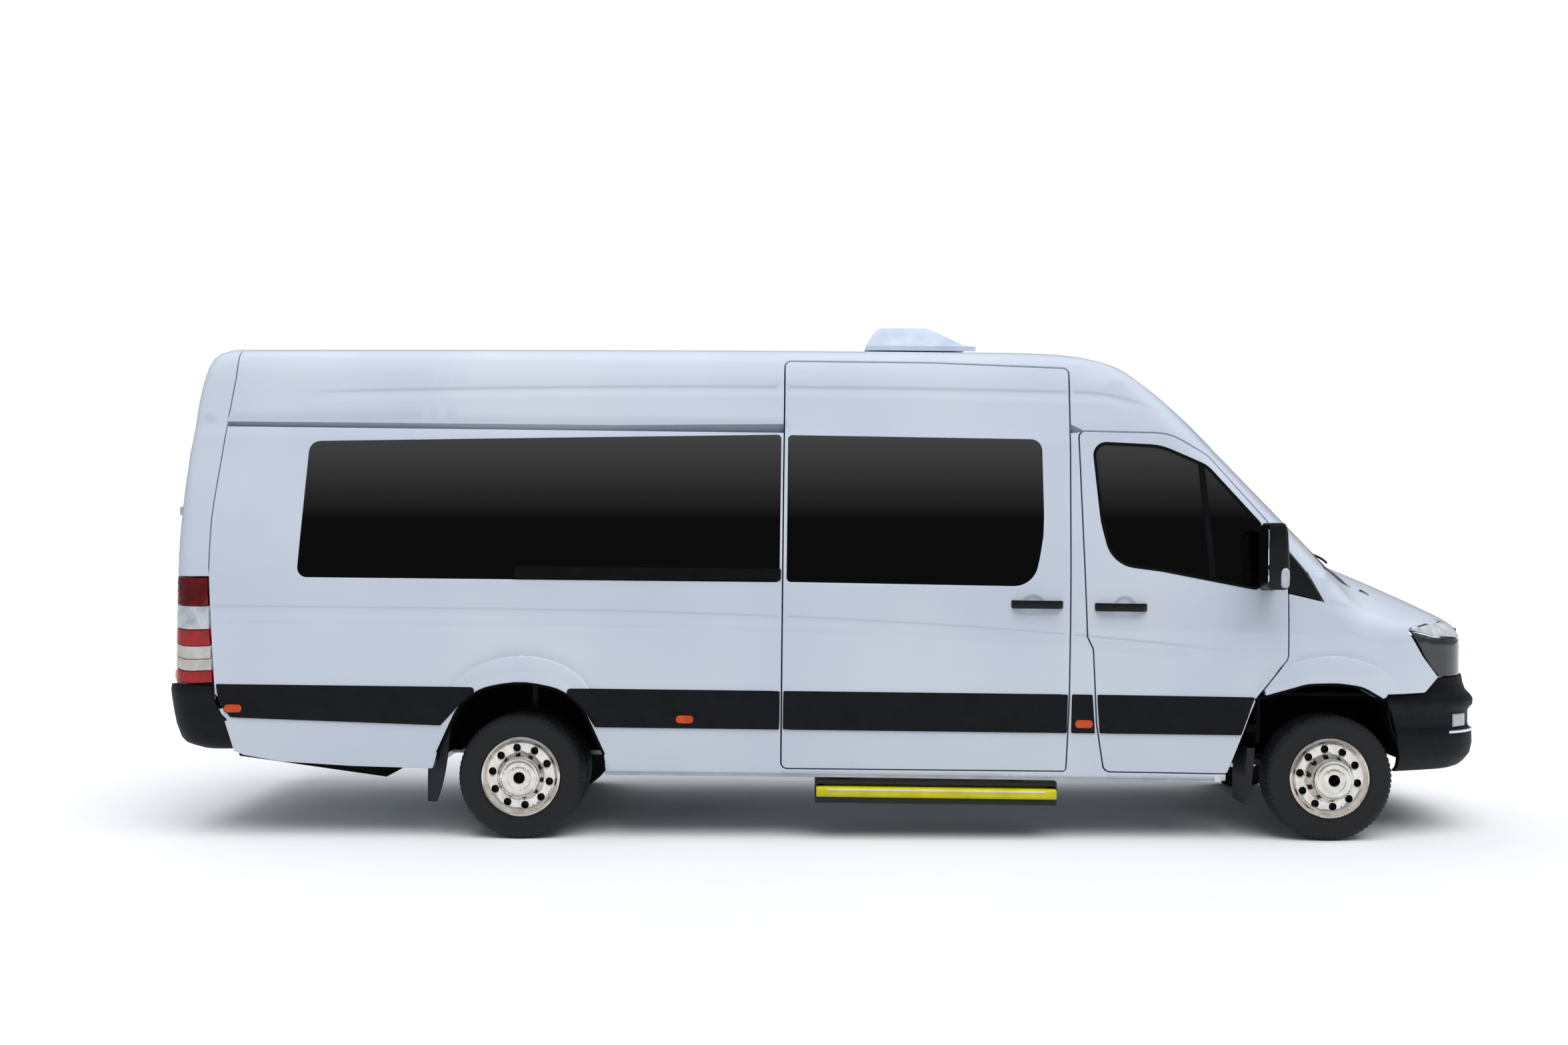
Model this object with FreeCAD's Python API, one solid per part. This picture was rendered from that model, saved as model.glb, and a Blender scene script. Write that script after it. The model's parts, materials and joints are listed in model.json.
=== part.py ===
# High-roof minibus with single front and twin rear wheels, a sliding side door and two rear doors.
# Millimetres. +X forward, +Y to the vehicle's left, +Z up. The origin is on the ground under the middle.
# The sprung body is drawn level in its own datum frame and then set on its wheels, nose slightly down.
import FreeCAD, Part
import math, os

Vec = FreeCAD.Vector

# ---- driving dimensions -------------------------------------------------------------------------
wheelbase = 4325.0
front_axle_x = 2640.5            # the front axle's station; the rear one follows from the wheelbase
rear_axle_x = front_axle_x - wheelbase
rake = 0.6                       # degrees, nose down

half_width = 990.0               # body side at the belt
wall = 55.0                      # thickness of walls and roof
leaf = 45.0                      # thickness of the hinged doors
lid = 30.0                       # thickness of the bonnet
lap = 10.0                       # outer skin of a door, which is wider than what lies behind it
lap_step = 16.0
shut_gap = 8.0                   # gap round doors and lids
glass = 5.0
rebate = 24.0                    # width of the ledge that a pane is bonded to
pane_play = 1.0                  # bead space between a pane's rim and its recess

sill_z = 338.0
roof_z = 2700.0
floor_z = 640.0                  # top of the floor
floor_t = 38.0
roof_seam_z = roof_z - 488
scuttle_z = 1496.0               # foot of the windscreen
roof_brow_z = roof_z - 350       # top of the windscreen's slope
tail_top_z = roof_z - 145        # top of the corner frame
rear_door_top = roof_z - 248
rear_door_foot = 600.0
rear_door_edge = half_width - 120
rear_door_meet = 11.0            # half the gap between the rear doors, whose corners turn past it
lid_half = half_width - 350      # half the bonnet's width at its rear
lamp_in = half_width - 520       # inner end of a headlamp
screen_half = half_width - 290
strip_low, strip_high = 590.0, 797.0
seat_gap = 0.3                   # between pieces bolted or bonded together
run_gap = 8.0                    # beside a moving piece

tyre_r, tyre_w = 335.0, 195.0    # rolling radius under load
rim_r = 203.2                    # 16 inch bead seat
wheel_outer_y = half_width - 28  # outer sidewall of the outermost tyres
twin_pitch = 225.0
kingpin_y = wheel_outer_y - 217
steer_deg = 35.0
bearing_play = 0.5

nose_x = 958.0                   # body nose ahead of the front axle
tail_x = 1907.0                  # body tail behind the rear axle

long = 9000.0                    # longer than the vehicle, for cutting blocks


def F(x):
    """A body station measured from the front axle, negative rearward."""
    return front_axle_x - 3.5 + x


def R(x):
    """A body station measured from the rear axle, negative rearward."""
    return rear_axle_x - 3.5 + x


# ---- outlines and blocks ------------------------------------------------------------------------
def rounded(points, place):
    """A closed wire through corner points (a, b, radius); place turns (a, b) into a 3-D point."""
    n = len(points)
    starts, ends, arcs = [], [], []
    for i in range(n):
        a, b = points[i][0], points[i][1]
        r = points[i][2] if len(points[i]) > 2 else 0.0
        p = Vec(a, b, 0)
        u = Vec(points[i - 1][0], points[i - 1][1], 0) - p
        w = Vec(points[(i + 1) % n][0], points[(i + 1) % n][1], 0) - p
        lu, lw = u.Length, w.Length
        u.normalize()
        w.normalize()
        turn = math.pi - u.getAngle(w)
        if r <= 0 or turn < 1e-4:
            starts.append(p)
            ends.append(p)
            arcs.append(None)
            continue
        t = min(r * math.tan(turn / 2), 0.49 * lu, 0.49 * lw)
        r = t / math.tan(turn / 2)
        bis = u + w
        bis.normalize()
        mid = p + bis * (r / math.cos(turn / 2) - r)
        starts.append(p + u * t)
        ends.append(p + w * t)
        arcs.append(mid)
    edges = []
    for i in range(n):
        if arcs[i] is not None:
            edges.append(Part.Arc(place(starts[i]), place(arcs[i]), place(ends[i])).toShape())
        a, b = ends[i], starts[(i + 1) % n]
        if (a - b).Length > 1e-6:
            edges.append(Part.LineSegment(place(a), place(b)).toShape())
    return Part.Wire(edges)


def on_side(p):
    return Vec(p.x, 0, p.y)


def on_plan(p):
    return Vec(p.x, p.y, 0)


def on_section(p):
    return Vec(0, p.x, p.y)


def grown(wire, by):
    """The wire's face, offset outward by by (inward if negative)."""
    face = Part.Face(wire)
    return face if abs(by) < 1e-9 else face.makeOffset2D(by, 2, False, False, True)


def set_down(x, y, z):
    """Where a point of the body's datum frame lies once the body stands on its wheels."""
    t = math.radians(rake)
    return Vec(x * math.cos(t) + z * math.sin(t), y, -x * math.sin(t) + z * math.cos(t))


def ground_height(x, z):
    """The height above the ground of the datum frame's level z at the ground's station x."""
    t = math.radians(rake)
    return (z - x * math.sin(t)) / math.cos(t)


def side_block(points, low=-long, high=long, by=0.0):
    """A side-view outline (x, z, radius) swept across the vehicle from y = low to high."""
    face = grown(rounded(points, on_side), by)
    face.translate(Vec(0, low, 0))
    return face.extrude(Vec(0, high - low, 0))


def plan_block(points, low=-long, high=long, by=0.0):
    """A plan outline (x, y, radius) swept from z = low to high."""
    face = grown(rounded(points, on_plan), by)
    face.translate(Vec(0, 0, low))
    return face.extrude(Vec(0, 0, high - low))


def end_block(points, low=-long, high=long, by=0.0):
    """An end-view outline (y, z, radius) swept from x = low to high."""
    face = grown(rounded(points, on_section), by)
    face.translate(Vec(low, 0, 0))
    return face.extrude(Vec(high - low, 0, 0))


def box(x0, x1, y0, y1, z0, z1):
    return Part.makeBox(x1 - x0, y1 - y0, z1 - z0, Vec(x0, y0, z0))


def tube(p, q, r):
    """A round bar from p to q."""
    a, b = Vec(*p), Vec(*q)
    return Part.makeCylinder(r, (b - a).Length, a, b - a)


def mirrored(points):
    """A right-hand half outline (y, z, radius), from bottom to top, closed by its mirror image."""
    inner = [p for p in points if p[0] == 0]
    left = [(-p[0], *p[1:]) for p in reversed(points) if p[0] != 0]
    return [p for p in points if p not in inner or p is inner[-1]] + left


def flip(shape):
    """The mirror image on the other side of the vehicle."""
    return shape.mirror(Vec(0, 0, 0), Vec(0, 1, 0))


def join(shapes):
    return shapes[0] if len(shapes) == 1 else shapes[0].fuse(shapes[1:]).removeSplitter()


def apart(*shapes):
    """Solids that don't touch, kept in one node."""
    return Part.makeCompound([s for shape in shapes for s in shape.Solids])


# ---- the body's outer form ----------------------------------------------------------------------
# Half section, y and z from the datum, with corner radii.
section = [
    (0, sill_z, 0), (half_width - 40, sill_z, 15), (half_width - 8, strip_low, 60),
    (half_width, strip_high, 300), (half_width, 1130, 500), (half_width - 20, 1400, 0),
    (half_width - 128, roof_seam_z + 13, 400), (half_width - 175, roof_z - 220, 300),
    (half_width - 232, roof_z - 60, 170),
    (0, roof_z + 36, 6000),
]
# Side profile of the middle: x, z, radius.
profile = [
    (R(-tail_x), sill_z - 60, 0), (R(-tail_x), 1500, 3000), (R(-tail_x + 95), roof_z - 280, 900),
    (R(-tail_x + 150), roof_z - 54, 150), (-300, roof_z + 6, 60000), (F(-1330), roof_z, 1500),
    (F(-670), roof_brow_z, 1200), (F(172), scuttle_z, 60), (F(600), 1330, 900),
    (F(862), 1190, 260), (F(nose_x - 14), 1095, 120), (F(nose_x), 900, 300),
    (F(nose_x), sill_z - 60, 0),
]
# Plan, left half: x, y, radius. Its sides stand just outside the section's, which shape the walls.
plan_half = [
    (R(-tail_x - 8), 0, 6000), (R(-tail_x + 10), half_width + 4, 150), (F(260), half_width + 4, 900),
    (F(788), half_width - 275, 330), (F(nose_x + 30), 0, 3000),
]
screen_slope = math.degrees(math.atan2(roof_brow_z - scuttle_z, 172 + 670))
bonnet_slope = math.degrees(math.atan2(scuttle_z - 1330, 600 - 172))
screen_bow = 2500.0              # radius of the windscreen across the vehicle
bonnet_bow = 2000.0
pillar_foot = scuttle_z - 36     # level at the foot of the windscreen pillars


def bow(x, z, slope, radius, by):
    """The space under a cylinder laid along a slope through (x, z), which crowns it crosswise."""
    turn = math.radians(slope)
    along = Vec(math.cos(turn), 0, -math.sin(turn))
    out = Vec(math.sin(turn), 0, math.cos(turn))
    return Part.makeCylinder(radius - by, 2 * long, Vec(x, 0, z) - out * radius - along * long, along)


def envelope(by=0.0):
    """The body's outer form, moved in by by."""
    sides = [(x, y, r) for x, y, r in plan_half if y > 0]
    plan = [plan_half[0]] + sides + [plan_half[-1]] + [(x, -y, r) for x, y, r in reversed(sides)]
    form = end_block(mirrored(section), R(-2400), F(1500), -by)
    form = form.common(side_block(profile, -long / 4, long / 4, -by))
    form = form.common(plan_block(plan, 0, 4000, -by))
    over = bow(F(172), scuttle_z, screen_slope, screen_bow, by).fuse([
        bow(F(172), scuttle_z, bonnet_slope, bonnet_bow, by),
        box(-long, F(-9) - by, -long, long, -long, pillar_foot - by)])
    return form.common(over)


def under_screen(x, drop):
    """The level at a front station x that lies a drop below the windscreen's line."""
    return scuttle_z + (172 - x) * (roof_brow_z - scuttle_z) / (172 + 670) - drop


# ---- outlines of the panels, x and z with corner radii ------------------------------------------
window_top = roof_seam_z - 42
front_door = [
    (F(-1335), roof_seam_z - 7, 30), (F(-850), roof_seam_z - 14, 300),
    (F(-640), under_screen(-640, 240), 160), (F(-327), under_screen(-327, 280), 150),
    (F(-235), under_screen(-235, 349), 120), (F(-235), 1000, 60), (F(-397), 794, 60), (F(-546), 382, 15),
    (F(-1200), 385, 40), (F(-1243), 640, 200), (F(-1264), 1040, 40), (F(-1296), 1105, 30),
    (F(-1315), 1600, 900),
]
slide_door = [
    (-289, roof_z - 123, 30), (500, roof_z - 125, 0), (F(-1389), roof_z - 150, 30), (F(-1388), 2100, 900),
    (F(-1396), 800, 3000), (F(-1408), 385, 15), (-287, 381, 30),
]
side_window = [
    (R(-1176), window_top - 60, 60), (-400, window_top, 0), (F(-1540), window_top - 12, 60),
    (F(-1530), 1640, 900),
    (F(-1590), 1371, 130), (R(-1215), 1378, 50),
]
front_window = [
    (F(-1256), window_top - 30, 60), (F(-900), window_top - 45, 300),
    (F(-655), under_screen(-655, 315), 150), (F(-378), under_screen(-378, 342), 40),
    (F(-384), 1372, 30), (F(-902), 1468, 60), (F(-1160), 1500, 160), (F(-1215), 1720, 600),
]
headlamp = [
    (F(432), 1157, 15), (F(585), 1180, 60), (F(700), 1150, 60), (F(900), 900, 60),
    (F(640), 893, 40), (F(533), 1011, 80),
]
rear_seam = [
    (R(-1607), tail_top_z, 40), (R(-1607), tail_top_z - 93, 300), (R(-1695), 1696, 1500),
    (R(-1695), 1370, 900),
    (R(-1657), 800, 900), (R(-1650), 300, 0),
]
lamp_low, lamp_high = strip_high + 7, 1369.0
lamp_zone = [(R(-1500), lamp_high, 0), (R(-2100), lamp_high, 0), (R(-2100), lamp_low, 0),
             (R(-1500), lamp_low, 0)]
rear_arch = [
    (R(462), 366, 0), (R(448), 443, 100), (R(330), 700, 250), (R(213), 790, 250), (R(0), 832, 500),
    (R(-213), 790, 250), (R(-330), 700, 250), (R(-448), 443, 100), (R(-462), 0, 0), (R(462), 0, 0),
]
front_arch = [
    (F(-546), 300, 0), (F(-546), 382, 15), (F(-408), 780, 90), (F(-130), 862, 250), (F(30), 868, 500),
    (F(160), 850, 200), (F(275), 786, 90), (F(326), 401, 20), (F(326), 0, 0), (F(-546), 0, 0),
]
screen = [
    (-screen_half, 1600, 80), (100 - screen_half, 1540, 900), (0, 1540, 0),
    (screen_half - 100, 1540, 900), (screen_half, 1600, 80),
    (screen_half - 40, roof_z - 575, 120), (0, roof_z - 525, 3000), (40 - screen_half, roof_z - 575, 120),
]
rear_door = [
    (rear_door_meet, rear_door_foot, 15), (rear_door_edge, rear_door_foot, 25), (rear_door_edge, 1760, 300),
    (rear_door_edge - 100, rear_door_top - 227, 300), (rear_door_edge - 148, rear_door_top - 52, 110),
    (rear_door_meet, rear_door_top, 15),
]
rear_window = [
    (75, 1400, 50), (rear_door_edge - 70, 1400, 60), (rear_door_edge - 165, rear_door_top - 367, 90),
    (75, rear_door_top - 347, 50),
]
lid_low = 1148.0                 # the bonnet's front edge
lid_plan = [
    (F(205), -lid_half, 60), (F(700), 40 - lid_half, 300), (F(872), 220 - lid_half, 160),
    (F(918), 0, 2200), (F(872), lid_half - 220, 160), (F(700), lid_half - 40, 300),
    (F(205), lid_half, 60), (F(175), 0, 6000),
]


bumper_top, bumper_low = 893.0, 382.0
front_bumper_side = [
    (F(250), bumper_low, 0), (F(250), 811, 0), (F(545), 812, 30), (F(632), bumper_top, 30),
    (F(1200), bumper_top, 0), (F(1200), bumper_low, 0),
]
front_bumper_plan = [
    (F(200), half_width + 6, 0), (F(862), half_width - 255, 330), (F(1044), 0, 3000),
    (F(862), 255 - half_width, 330), (F(200), -half_width - 6, 0), (F(200), 0, 0),
]
rear_bumper_side = [
    (R(-1556), 422, 0), (R(-1610), 617, 20), (R(-1650), 700, 30), (R(-1649), 794, 0),
    (R(-2300), 794, 0), (R(-2300), 422, 0),
]
rear_bumper_plan = [
    (R(-1400), half_width + 6, 0), (R(-1400), -half_width - 6, 0), (R(-1925), -half_width - 6, 190),
    (R(-tail_x - 49), 0, 5000), (R(-1925), half_width + 6, 190),
]
bumper_t = 48.0
bumper_roll = 40.0               # radius along the front bumper's lower edge
bumper_band = (609.0, 715.0)     # a recess along the front, for the plate
bumper_band_half, bumper_band_deep = 700.0, 26.0
intake_half, intake_slot = 430.0, 30.0
intake_slots = (440.0, 484.0, 528.0)                       # feet of the lower intake's slots
grille_slot, grille_bar = 28.0, 16.0


def rh(points):
    """An end-view half outline put on the right-hand side."""
    return [(-p[0], *p[1:]) for p in points]


# ---- shells -------------------------------------------------------------------------------------
outer = envelope()
inner = envelope(wall)
inside = envelope(wall + seat_gap)
side_foot = half_width - 40 - wall
belly = box(-long, long, -side_foot, side_foot, -long, sill_z + 3 * wall)
shell = outer.cut([inner, belly])
skin_lap = outer.cut(envelope(lap))
skin_leaf = outer.cut(envelope(leaf))
skin_lid = outer.cut(envelope(lid))
skin_glass = outer.cut(envelope(glass))
skin_rebate = outer.cut(envelope(glass + seat_gap))
near = (-long, -300.0)           # across the right-hand side
upper = box(-long, long, -long, long, roof_seam_z, long)
lower = box(-long, long, -long, long, -long, roof_seam_z - seat_gap)


def panel_with_step(block_of, outline, low, high, skin):
    """A leaf whose outer lap is wider than its inner part."""
    whole = skin_lap.common(block_of(outline, low, high))
    core = skin.common(block_of(outline, low, high, -lap_step))
    return whole.fuse(core).removeSplitter()


def glazed(leaf_shape, block_of, outline, low, high):
    """Cut a pane's seat through a panel, and give the panel and the pane."""
    seat = skin_rebate.common(block_of(outline, low, high, pane_play))
    hole = block_of(outline, low, high, -rebate)
    pane = skin_glass.common(block_of(outline, low, high))
    return leaf_shape.cut([seat, hole]), pane


# Doors of the right-hand side. The left-hand front door is a mirror image.
door_r = panel_with_step(side_block, front_door, *near, skin_leaf)
door_r, door_pane_r = glazed(door_r, side_block, front_window, *near)
slider = shell.common(side_block(slide_door, *near))

# Rear doors. Their faces are closed to the body by the corner frame.
tail = (R(-2400), R(-1500))
rear_r = panel_with_step(end_block, rh(rear_door), *tail, skin_leaf)
rear_r, rear_pane_r = glazed(rear_r, end_block, rh(rear_window), *tail)

# Openings.
hole_door_r = side_block(front_door, *near, shut_gap)
hole_slide = side_block(slide_door, *near, shut_gap)
hole_rear_r = end_block(rh(rear_door), *tail, shut_gap)
hole_rear = box(*tail, -30, 30, rear_door_foot - shut_gap, rear_door_top + shut_gap)
holes_tail = [hole_rear_r, flip(hole_rear_r), hole_rear]
turn_r = math.hypot(tyre_r, wheel_outer_y - kingpin_y) + run_gap
wheel_room = [
    Part.makeCylinder(turn_r, 2 * tyre_r + 90, Vec(F(0), s * kingpin_y, 0)) for s in (-1, 1)]
arch_f = [side_block(front_arch, -long, -500), side_block(front_arch, 500, long)]
arch_r = [side_block(rear_arch, -long, -480), side_block(rear_arch, 480, long)]
lid_block = plan_block(lid_plan, lid_low, 1700)
lid_hole = plan_block(lid_plan, lid_low - shut_gap, 1700, shut_gap)

# The corner frame behind the rear seam.
tail_zone = side_block([(R(-2400), tail_top_z, 0)] + rear_seam + [(R(-2400), 300, 0)])
lamp_edge = 230 - rear_door_edge # inner limit of the tail lamps
lamp_block = side_block(lamp_zone, -long, lamp_edge)
lamp_margin = 27.0               # from the rear door's edge to the tail lamp
lamp_r = shell.common(lamp_block).common(tail_zone).cut(
    end_block(rh(rear_door), *tail, lamp_margin))
lamp_r = lamp_r.common(box(-long, long, -long, lamp_edge, lamp_low + seat_gap, lamp_high - seat_gap))
tail_cut = side_block([(R(-2400), tail_top_z + seat_gap, 0)]
                      + [(x + seat_gap, z, r) for x, z, r in rear_seam] + [(R(-2400), 300, 0)])
lamp_hole = lamp_block.cut(end_block(rh(rear_door), *tail, lamp_margin - seat_gap))
bumper_r_in = rear_door_edge + 12
bumper_r_block = plan_block(rear_bumper_plan, 422, 794)
bumper_r = bumper_r_block.cut([
    plan_block(rear_bumper_plan, 0, 2000, -bumper_t), box(*tail, -bumper_r_in, bumper_r_in, 582, 900)])
bumper_r = bumper_r.common(side_block(rear_bumper_side))
bumper_r_hole = side_block(rear_bumper_side, -long, long, seat_gap).common(
    plan_block(rear_bumper_plan, 0, 2000, seat_gap)).cut(
    [plan_block(rear_bumper_plan, 0, 2000, -bumper_t - seat_gap),
     box(*tail, seat_gap - bumper_r_in, bumper_r_in - seat_gap, 582 + seat_gap, 900)])
rear_frame = shell.common(tail_zone).cut(
    holes_tail + [lamp_hole, flip(lamp_hole), bumper_r_hole])

# Door hinges. A front door turns on pins just inside its front edge, a rear door on pins behind its
# outer edge; the body's half of each hinge holds the pin, and the door has an eye above and below.
pin_play = 0.3
hinge_pin = 4.0
front_hinge_x, front_hinge_y = F(-242), half_width - 7
front_hinges = [(900.0, 60.0), (1220.0, 60.0)]             # foot and height of the body's halves
rear_hinge_x, rear_hinge_y = R(-tail_x - 12), rear_door_edge - 2
rear_hinges = [(812.0, 50.0), (1700.0, 50.0)]
front_halves, rear_halves = [], []
for z, h in front_hinges:
    pin = tube((front_hinge_x, -front_hinge_y, z - 14), (front_hinge_x, -front_hinge_y, z + h + 14),
               hinge_pin)
    plate = box(front_hinge_x, front_hinge_x + 40, -front_hinge_y - 4, -front_hinge_y + 4, z, z + h)
    front_halves.append(pin.fuse(plate))
    room = box(front_hinge_x - 14, front_hinge_x + 60, -long, -front_hinge_y + 16, z - 1, z + h + 1)
    bore = tube((front_hinge_x, -front_hinge_y, z - 20), (front_hinge_x, -front_hinge_y, z + h + 20),
                hinge_pin + pin_play)
    door_r = door_r.cut([room, bore])
for z, h in rear_hinges:
    pin = tube((rear_hinge_x, -rear_hinge_y, z - 20), (rear_hinge_x, -rear_hinge_y, z + h + 20), hinge_pin)
    half = [pin, tube((rear_hinge_x, -rear_hinge_y, z), (rear_hinge_x, -rear_hinge_y, z + h), 8),
            box(rear_hinge_x - 7, rear_hinge_x + 7, -rear_hinge_y - 26, -rear_hinge_y, z, z + h),
            box(rear_hinge_x - 7, rear_hinge_x + 150, -rear_hinge_y - 26, -rear_hinge_y - 14, z, z + h)]
    rear_halves.append(join(half))
    for z0, z1 in ((z - 21, z - 1), (z + h + 1, z + h + 21)):
        eye = join([tube((rear_hinge_x, -rear_hinge_y, z0), (rear_hinge_x, -rear_hinge_y, z1), 8),
                    box(rear_hinge_x - 7, rear_hinge_x + 7, -rear_hinge_y, -rear_hinge_y + 70, z0, z1),
                    box(rear_hinge_x - 7, rear_hinge_x + 120, -rear_hinge_y + 12, -rear_hinge_y + 70,
                        z0, z1)])
        eye = eye.cut([tube((rear_hinge_x, -rear_hinge_y, z0 - 1), (rear_hinge_x, -rear_hinge_y, z1 + 1),
                            hinge_pin + pin_play), envelope(leaf - 5)])
        rear_r = rear_r.fuse(eye).removeSplitter()

rear_halves = [half.cut(envelope(wall - 5)) for half in rear_halves]
rear_frame = join([rear_frame] + rear_halves + [flip(half) for half in rear_halves])

# The nose ahead of the front doors.
nose_zone = box(F(-420), long, -long, long, -long, 1425)
bumper_f = plan_block(front_bumper_plan, 0, 2000).cut(
    plan_block(front_bumper_plan, 0, 2000, -bumper_t))
bumper_f = bumper_f.common(side_block(front_bumper_side))
bumper_rim = plan_block(front_bumper_plan, 0, 2000)
lower_edges = [e for e in bumper_f.Edges
               if e.BoundBox.ZMax < bumper_low + 1 and bumper_rim.Shells[0].distToShape(e)[0] < 0.1
               and e.BoundBox.XMax > F(250) + 1]
bumper_f = bumper_f.makeFillet(bumper_roll, lower_edges)
band = plan_block(front_bumper_plan, *bumper_band).cut(
    plan_block(front_bumper_plan, 0, 2000, -bumper_band_deep)).common(
    box(F(600), long, -bumper_band_half, bumper_band_half, 0, 2000))
slots = [box(F(900), long, -intake_half, intake_half, z, z + intake_slot) for z in intake_slots]
bumper_f = bumper_f.cut([band, *slots, *arch_f, *wheel_room])
bumper_f_hole = side_block(front_bumper_side, -long, long, seat_gap)
lamp_f = side_block(headlamp, -long, -lamp_in)
headlight_r = shell.common(side_block(headlamp, -long, -lamp_in - seat_gap, -seat_gap))
nose = shell.common(nose_zone).cut([
    lid_hole, lamp_f, flip(lamp_f), *arch_f, *wheel_room, hole_door_r, flip(hole_door_r),
    bumper_f_hole, box(-long, long, -long, long, -long, 740 + seat_gap)])
grille_top = lid_low - shut_gap
grille_box = box(F(700), long, -lamp_in, lamp_in, bumper_top, grille_top)
grille = nose.common(box(F(700), long, seat_gap - lamp_in, lamp_in - seat_gap,
                         bumper_top + seat_gap, grille_top))
grille_slots = int((grille_top - bumper_top - grille_bar) / (grille_slot + grille_bar))
grille_foot = (grille_top + bumper_top - grille_slots * (grille_slot + grille_bar) + grille_bar) / 2
grille_half = lamp_in - 50
grille = grille.cut([
    box(F(700), long, -grille_half, grille_half, z, z + grille_slot)
    for z in (grille_foot + k * (grille_slot + grille_bar) for k in range(grille_slots))])
nose = join([nose.cut(grille_box)] + front_halves + [flip(half) for half in front_halves])
bonnet = skin_lap.common(lid_block).fuse(
    skin_lid.common(plan_block(lid_plan, lid_low + lap_step, 1700, -lap_step))).removeSplitter()

# Bonnet hinges at its rear edge, near the middle: the scuttle holds the pins.
bonnet_hinge_x, bonnet_hinge_z = F(190), 1477.0
bonnet_hinge_y = (-150.0, 150.0)
scuttle_halves = []
for y in bonnet_hinge_y:
    bonnet = bonnet.fuse(box(bonnet_hinge_x - 8, bonnet_hinge_x + 70, y - 40, y + 40,
                             bonnet_hinge_z - 9, bonnet_hinge_z + 40).common(outer))
    bonnet = bonnet.cut([
        box(bonnet_hinge_x - 60, bonnet_hinge_x + 18, y - 16, y + 16, bonnet_hinge_z - 60, 1600),
        tube((bonnet_hinge_x, y - 32, bonnet_hinge_z), (bonnet_hinge_x, y + 32, bonnet_hinge_z),
             3.5 + pin_play)])
    scuttle_halves.append(join([
        tube((bonnet_hinge_x, y - 30, bonnet_hinge_z), (bonnet_hinge_x, y + 30, bonnet_hinge_z), 3.5),
        box(bonnet_hinge_x - 30, bonnet_hinge_x, y - 15, y + 15, bonnet_hinge_z - 9, bonnet_hinge_z)]))
bonnet = bonnet.removeSplitter()

# Body sides, up to the roof seam, and the roof.
nose_cut = box(F(-420), long, -long, long, 740, 1425 + seat_gap).fuse(
    box(F(-300), long, -long, long, -long, 800))
header_half, header_low = screen_half - 10, roof_z - 620
header = box(F(-800), F(0), -header_half, header_half, header_low, long)
upper = upper.fuse(header)
lower = lower.cut(box(F(-800) - seat_gap, F(0), -header_half - seat_gap, header_half + seat_gap,
                      header_low - seat_gap, long))
middle = shell.cut([tail_cut, nose_cut, bumper_r_hole])
scuttle_half = lid_half + 10
scuttle_zone = box(F(60), long, -scuttle_half, scuttle_half, -long, long)
scuttle_cut = box(F(60) - seat_gap, long, -scuttle_half - seat_gap, scuttle_half + seat_gap, -long, long)
screen_seat = skin_rebate.common(end_block(screen, F(-1000), F(600), pane_play))
screen_hole = end_block(screen, F(-1000), F(600), -rebate)
windscreen = skin_glass.common(end_block(screen, F(-1000), F(600)))
below = middle.common(lower).cut([hole_door_r, flip(hole_door_r), *arch_r, *arch_f,
                                  screen_seat, screen_hole, lid_hole])
swing = tube((bonnet_hinge_x, -long, bonnet_hinge_z), (bonnet_hinge_x, long, bonnet_hinge_z), 20)
scuttle = join([below.common(scuttle_zone).cut(swing)] + scuttle_halves)
below = below.cut(scuttle_cut)
front_of_doors = box(F(-1200), long, -long, long, 1300, long)
pillars = below.common(front_of_doors)       # the windscreen pillars, ahead of the front doors
below = below.cut(front_of_doors)
side_l = below.common(box(-long, long, 0, long, -long, long))
side_r = below.common(box(-long, long, -long, 0, -long, long)).cut(hole_slide)
side_r, window_r = glazed(side_r, side_block, [
    (R(-1176), window_top - 60, 60), (-310, window_top, 20), (-310, 1380, 20),
    (R(-1215), 1378, 50)], *near)
slider, window_s = glazed(slider, side_block, [
    (-268, window_top - 2, 20), (F(-1540), window_top - 12, 60), (F(-1530), 1640, 900),
    (F(-1590), 1371, 130), (-268, 1381, 20)], *near)
side_l, window_l = glazed(side_l, side_block, side_window, 300.0, long)
roof = middle.common(upper).cut([hole_slide, *holes_tail, screen_seat, screen_hole])

# ---- floor, bulkhead and wheel houses -----------------------------------------------------------
house_t = 18.0
house_in = wheel_outer_y - 450   # inner face of the rear wheel houses
floor_low = floor_z - floor_t
house_low = floor_low - 60       # lower rim of the wheel houses
house_top = 850.0
house_half = 515.0               # half the length of a rear wheel house


def house_outline(half, r, top):
    """A wheel house in side view, half long each way from the axle that r measures from."""
    foot = floor_low - 180
    return [(r(-half), foot, 0), (r(-half), top, 80), (r(half), top, 80), (r(half), foot, 0)]


houses, hollows = [], []
for sgn in (-1, 1):
    outline = house_outline(house_half, R, house_top)
    block = side_block(outline, *sorted((sgn * house_in, sgn * long)))
    hollow = side_block(outline, *sorted((sgn * (house_in + house_t), sgn * long)), -house_t)
    houses.append(block.common(box(-long, long, -long, long, house_low, long)))
    hollows.append(hollow)
    outer_r = turn_r + house_t
    houses.append(Part.makeCylinder(outer_r, 800 + house_t - house_low,
                                    Vec(F(0), sgn * kingpin_y, house_low)))
    hollows.append(Part.makeCylinder(turn_r, 800, Vec(F(0), sgn * kingpin_y, 0)))
bulkhead_x = F(-215)
under_houses = box(F(-450), F(450), 265 - kingpin_y, kingpin_y - 265, 0, floor_low)
slab = box(R(-tail_x + 180), bulkhead_x, -long, long, floor_low, floor_z)
wall_front = box(bulkhead_x - 25, bulkhead_x, -long, long, floor_low, 1405)
floor = join([slab, wall_front] + houses).common(inside).cut(hollows + [under_houses])
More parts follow.
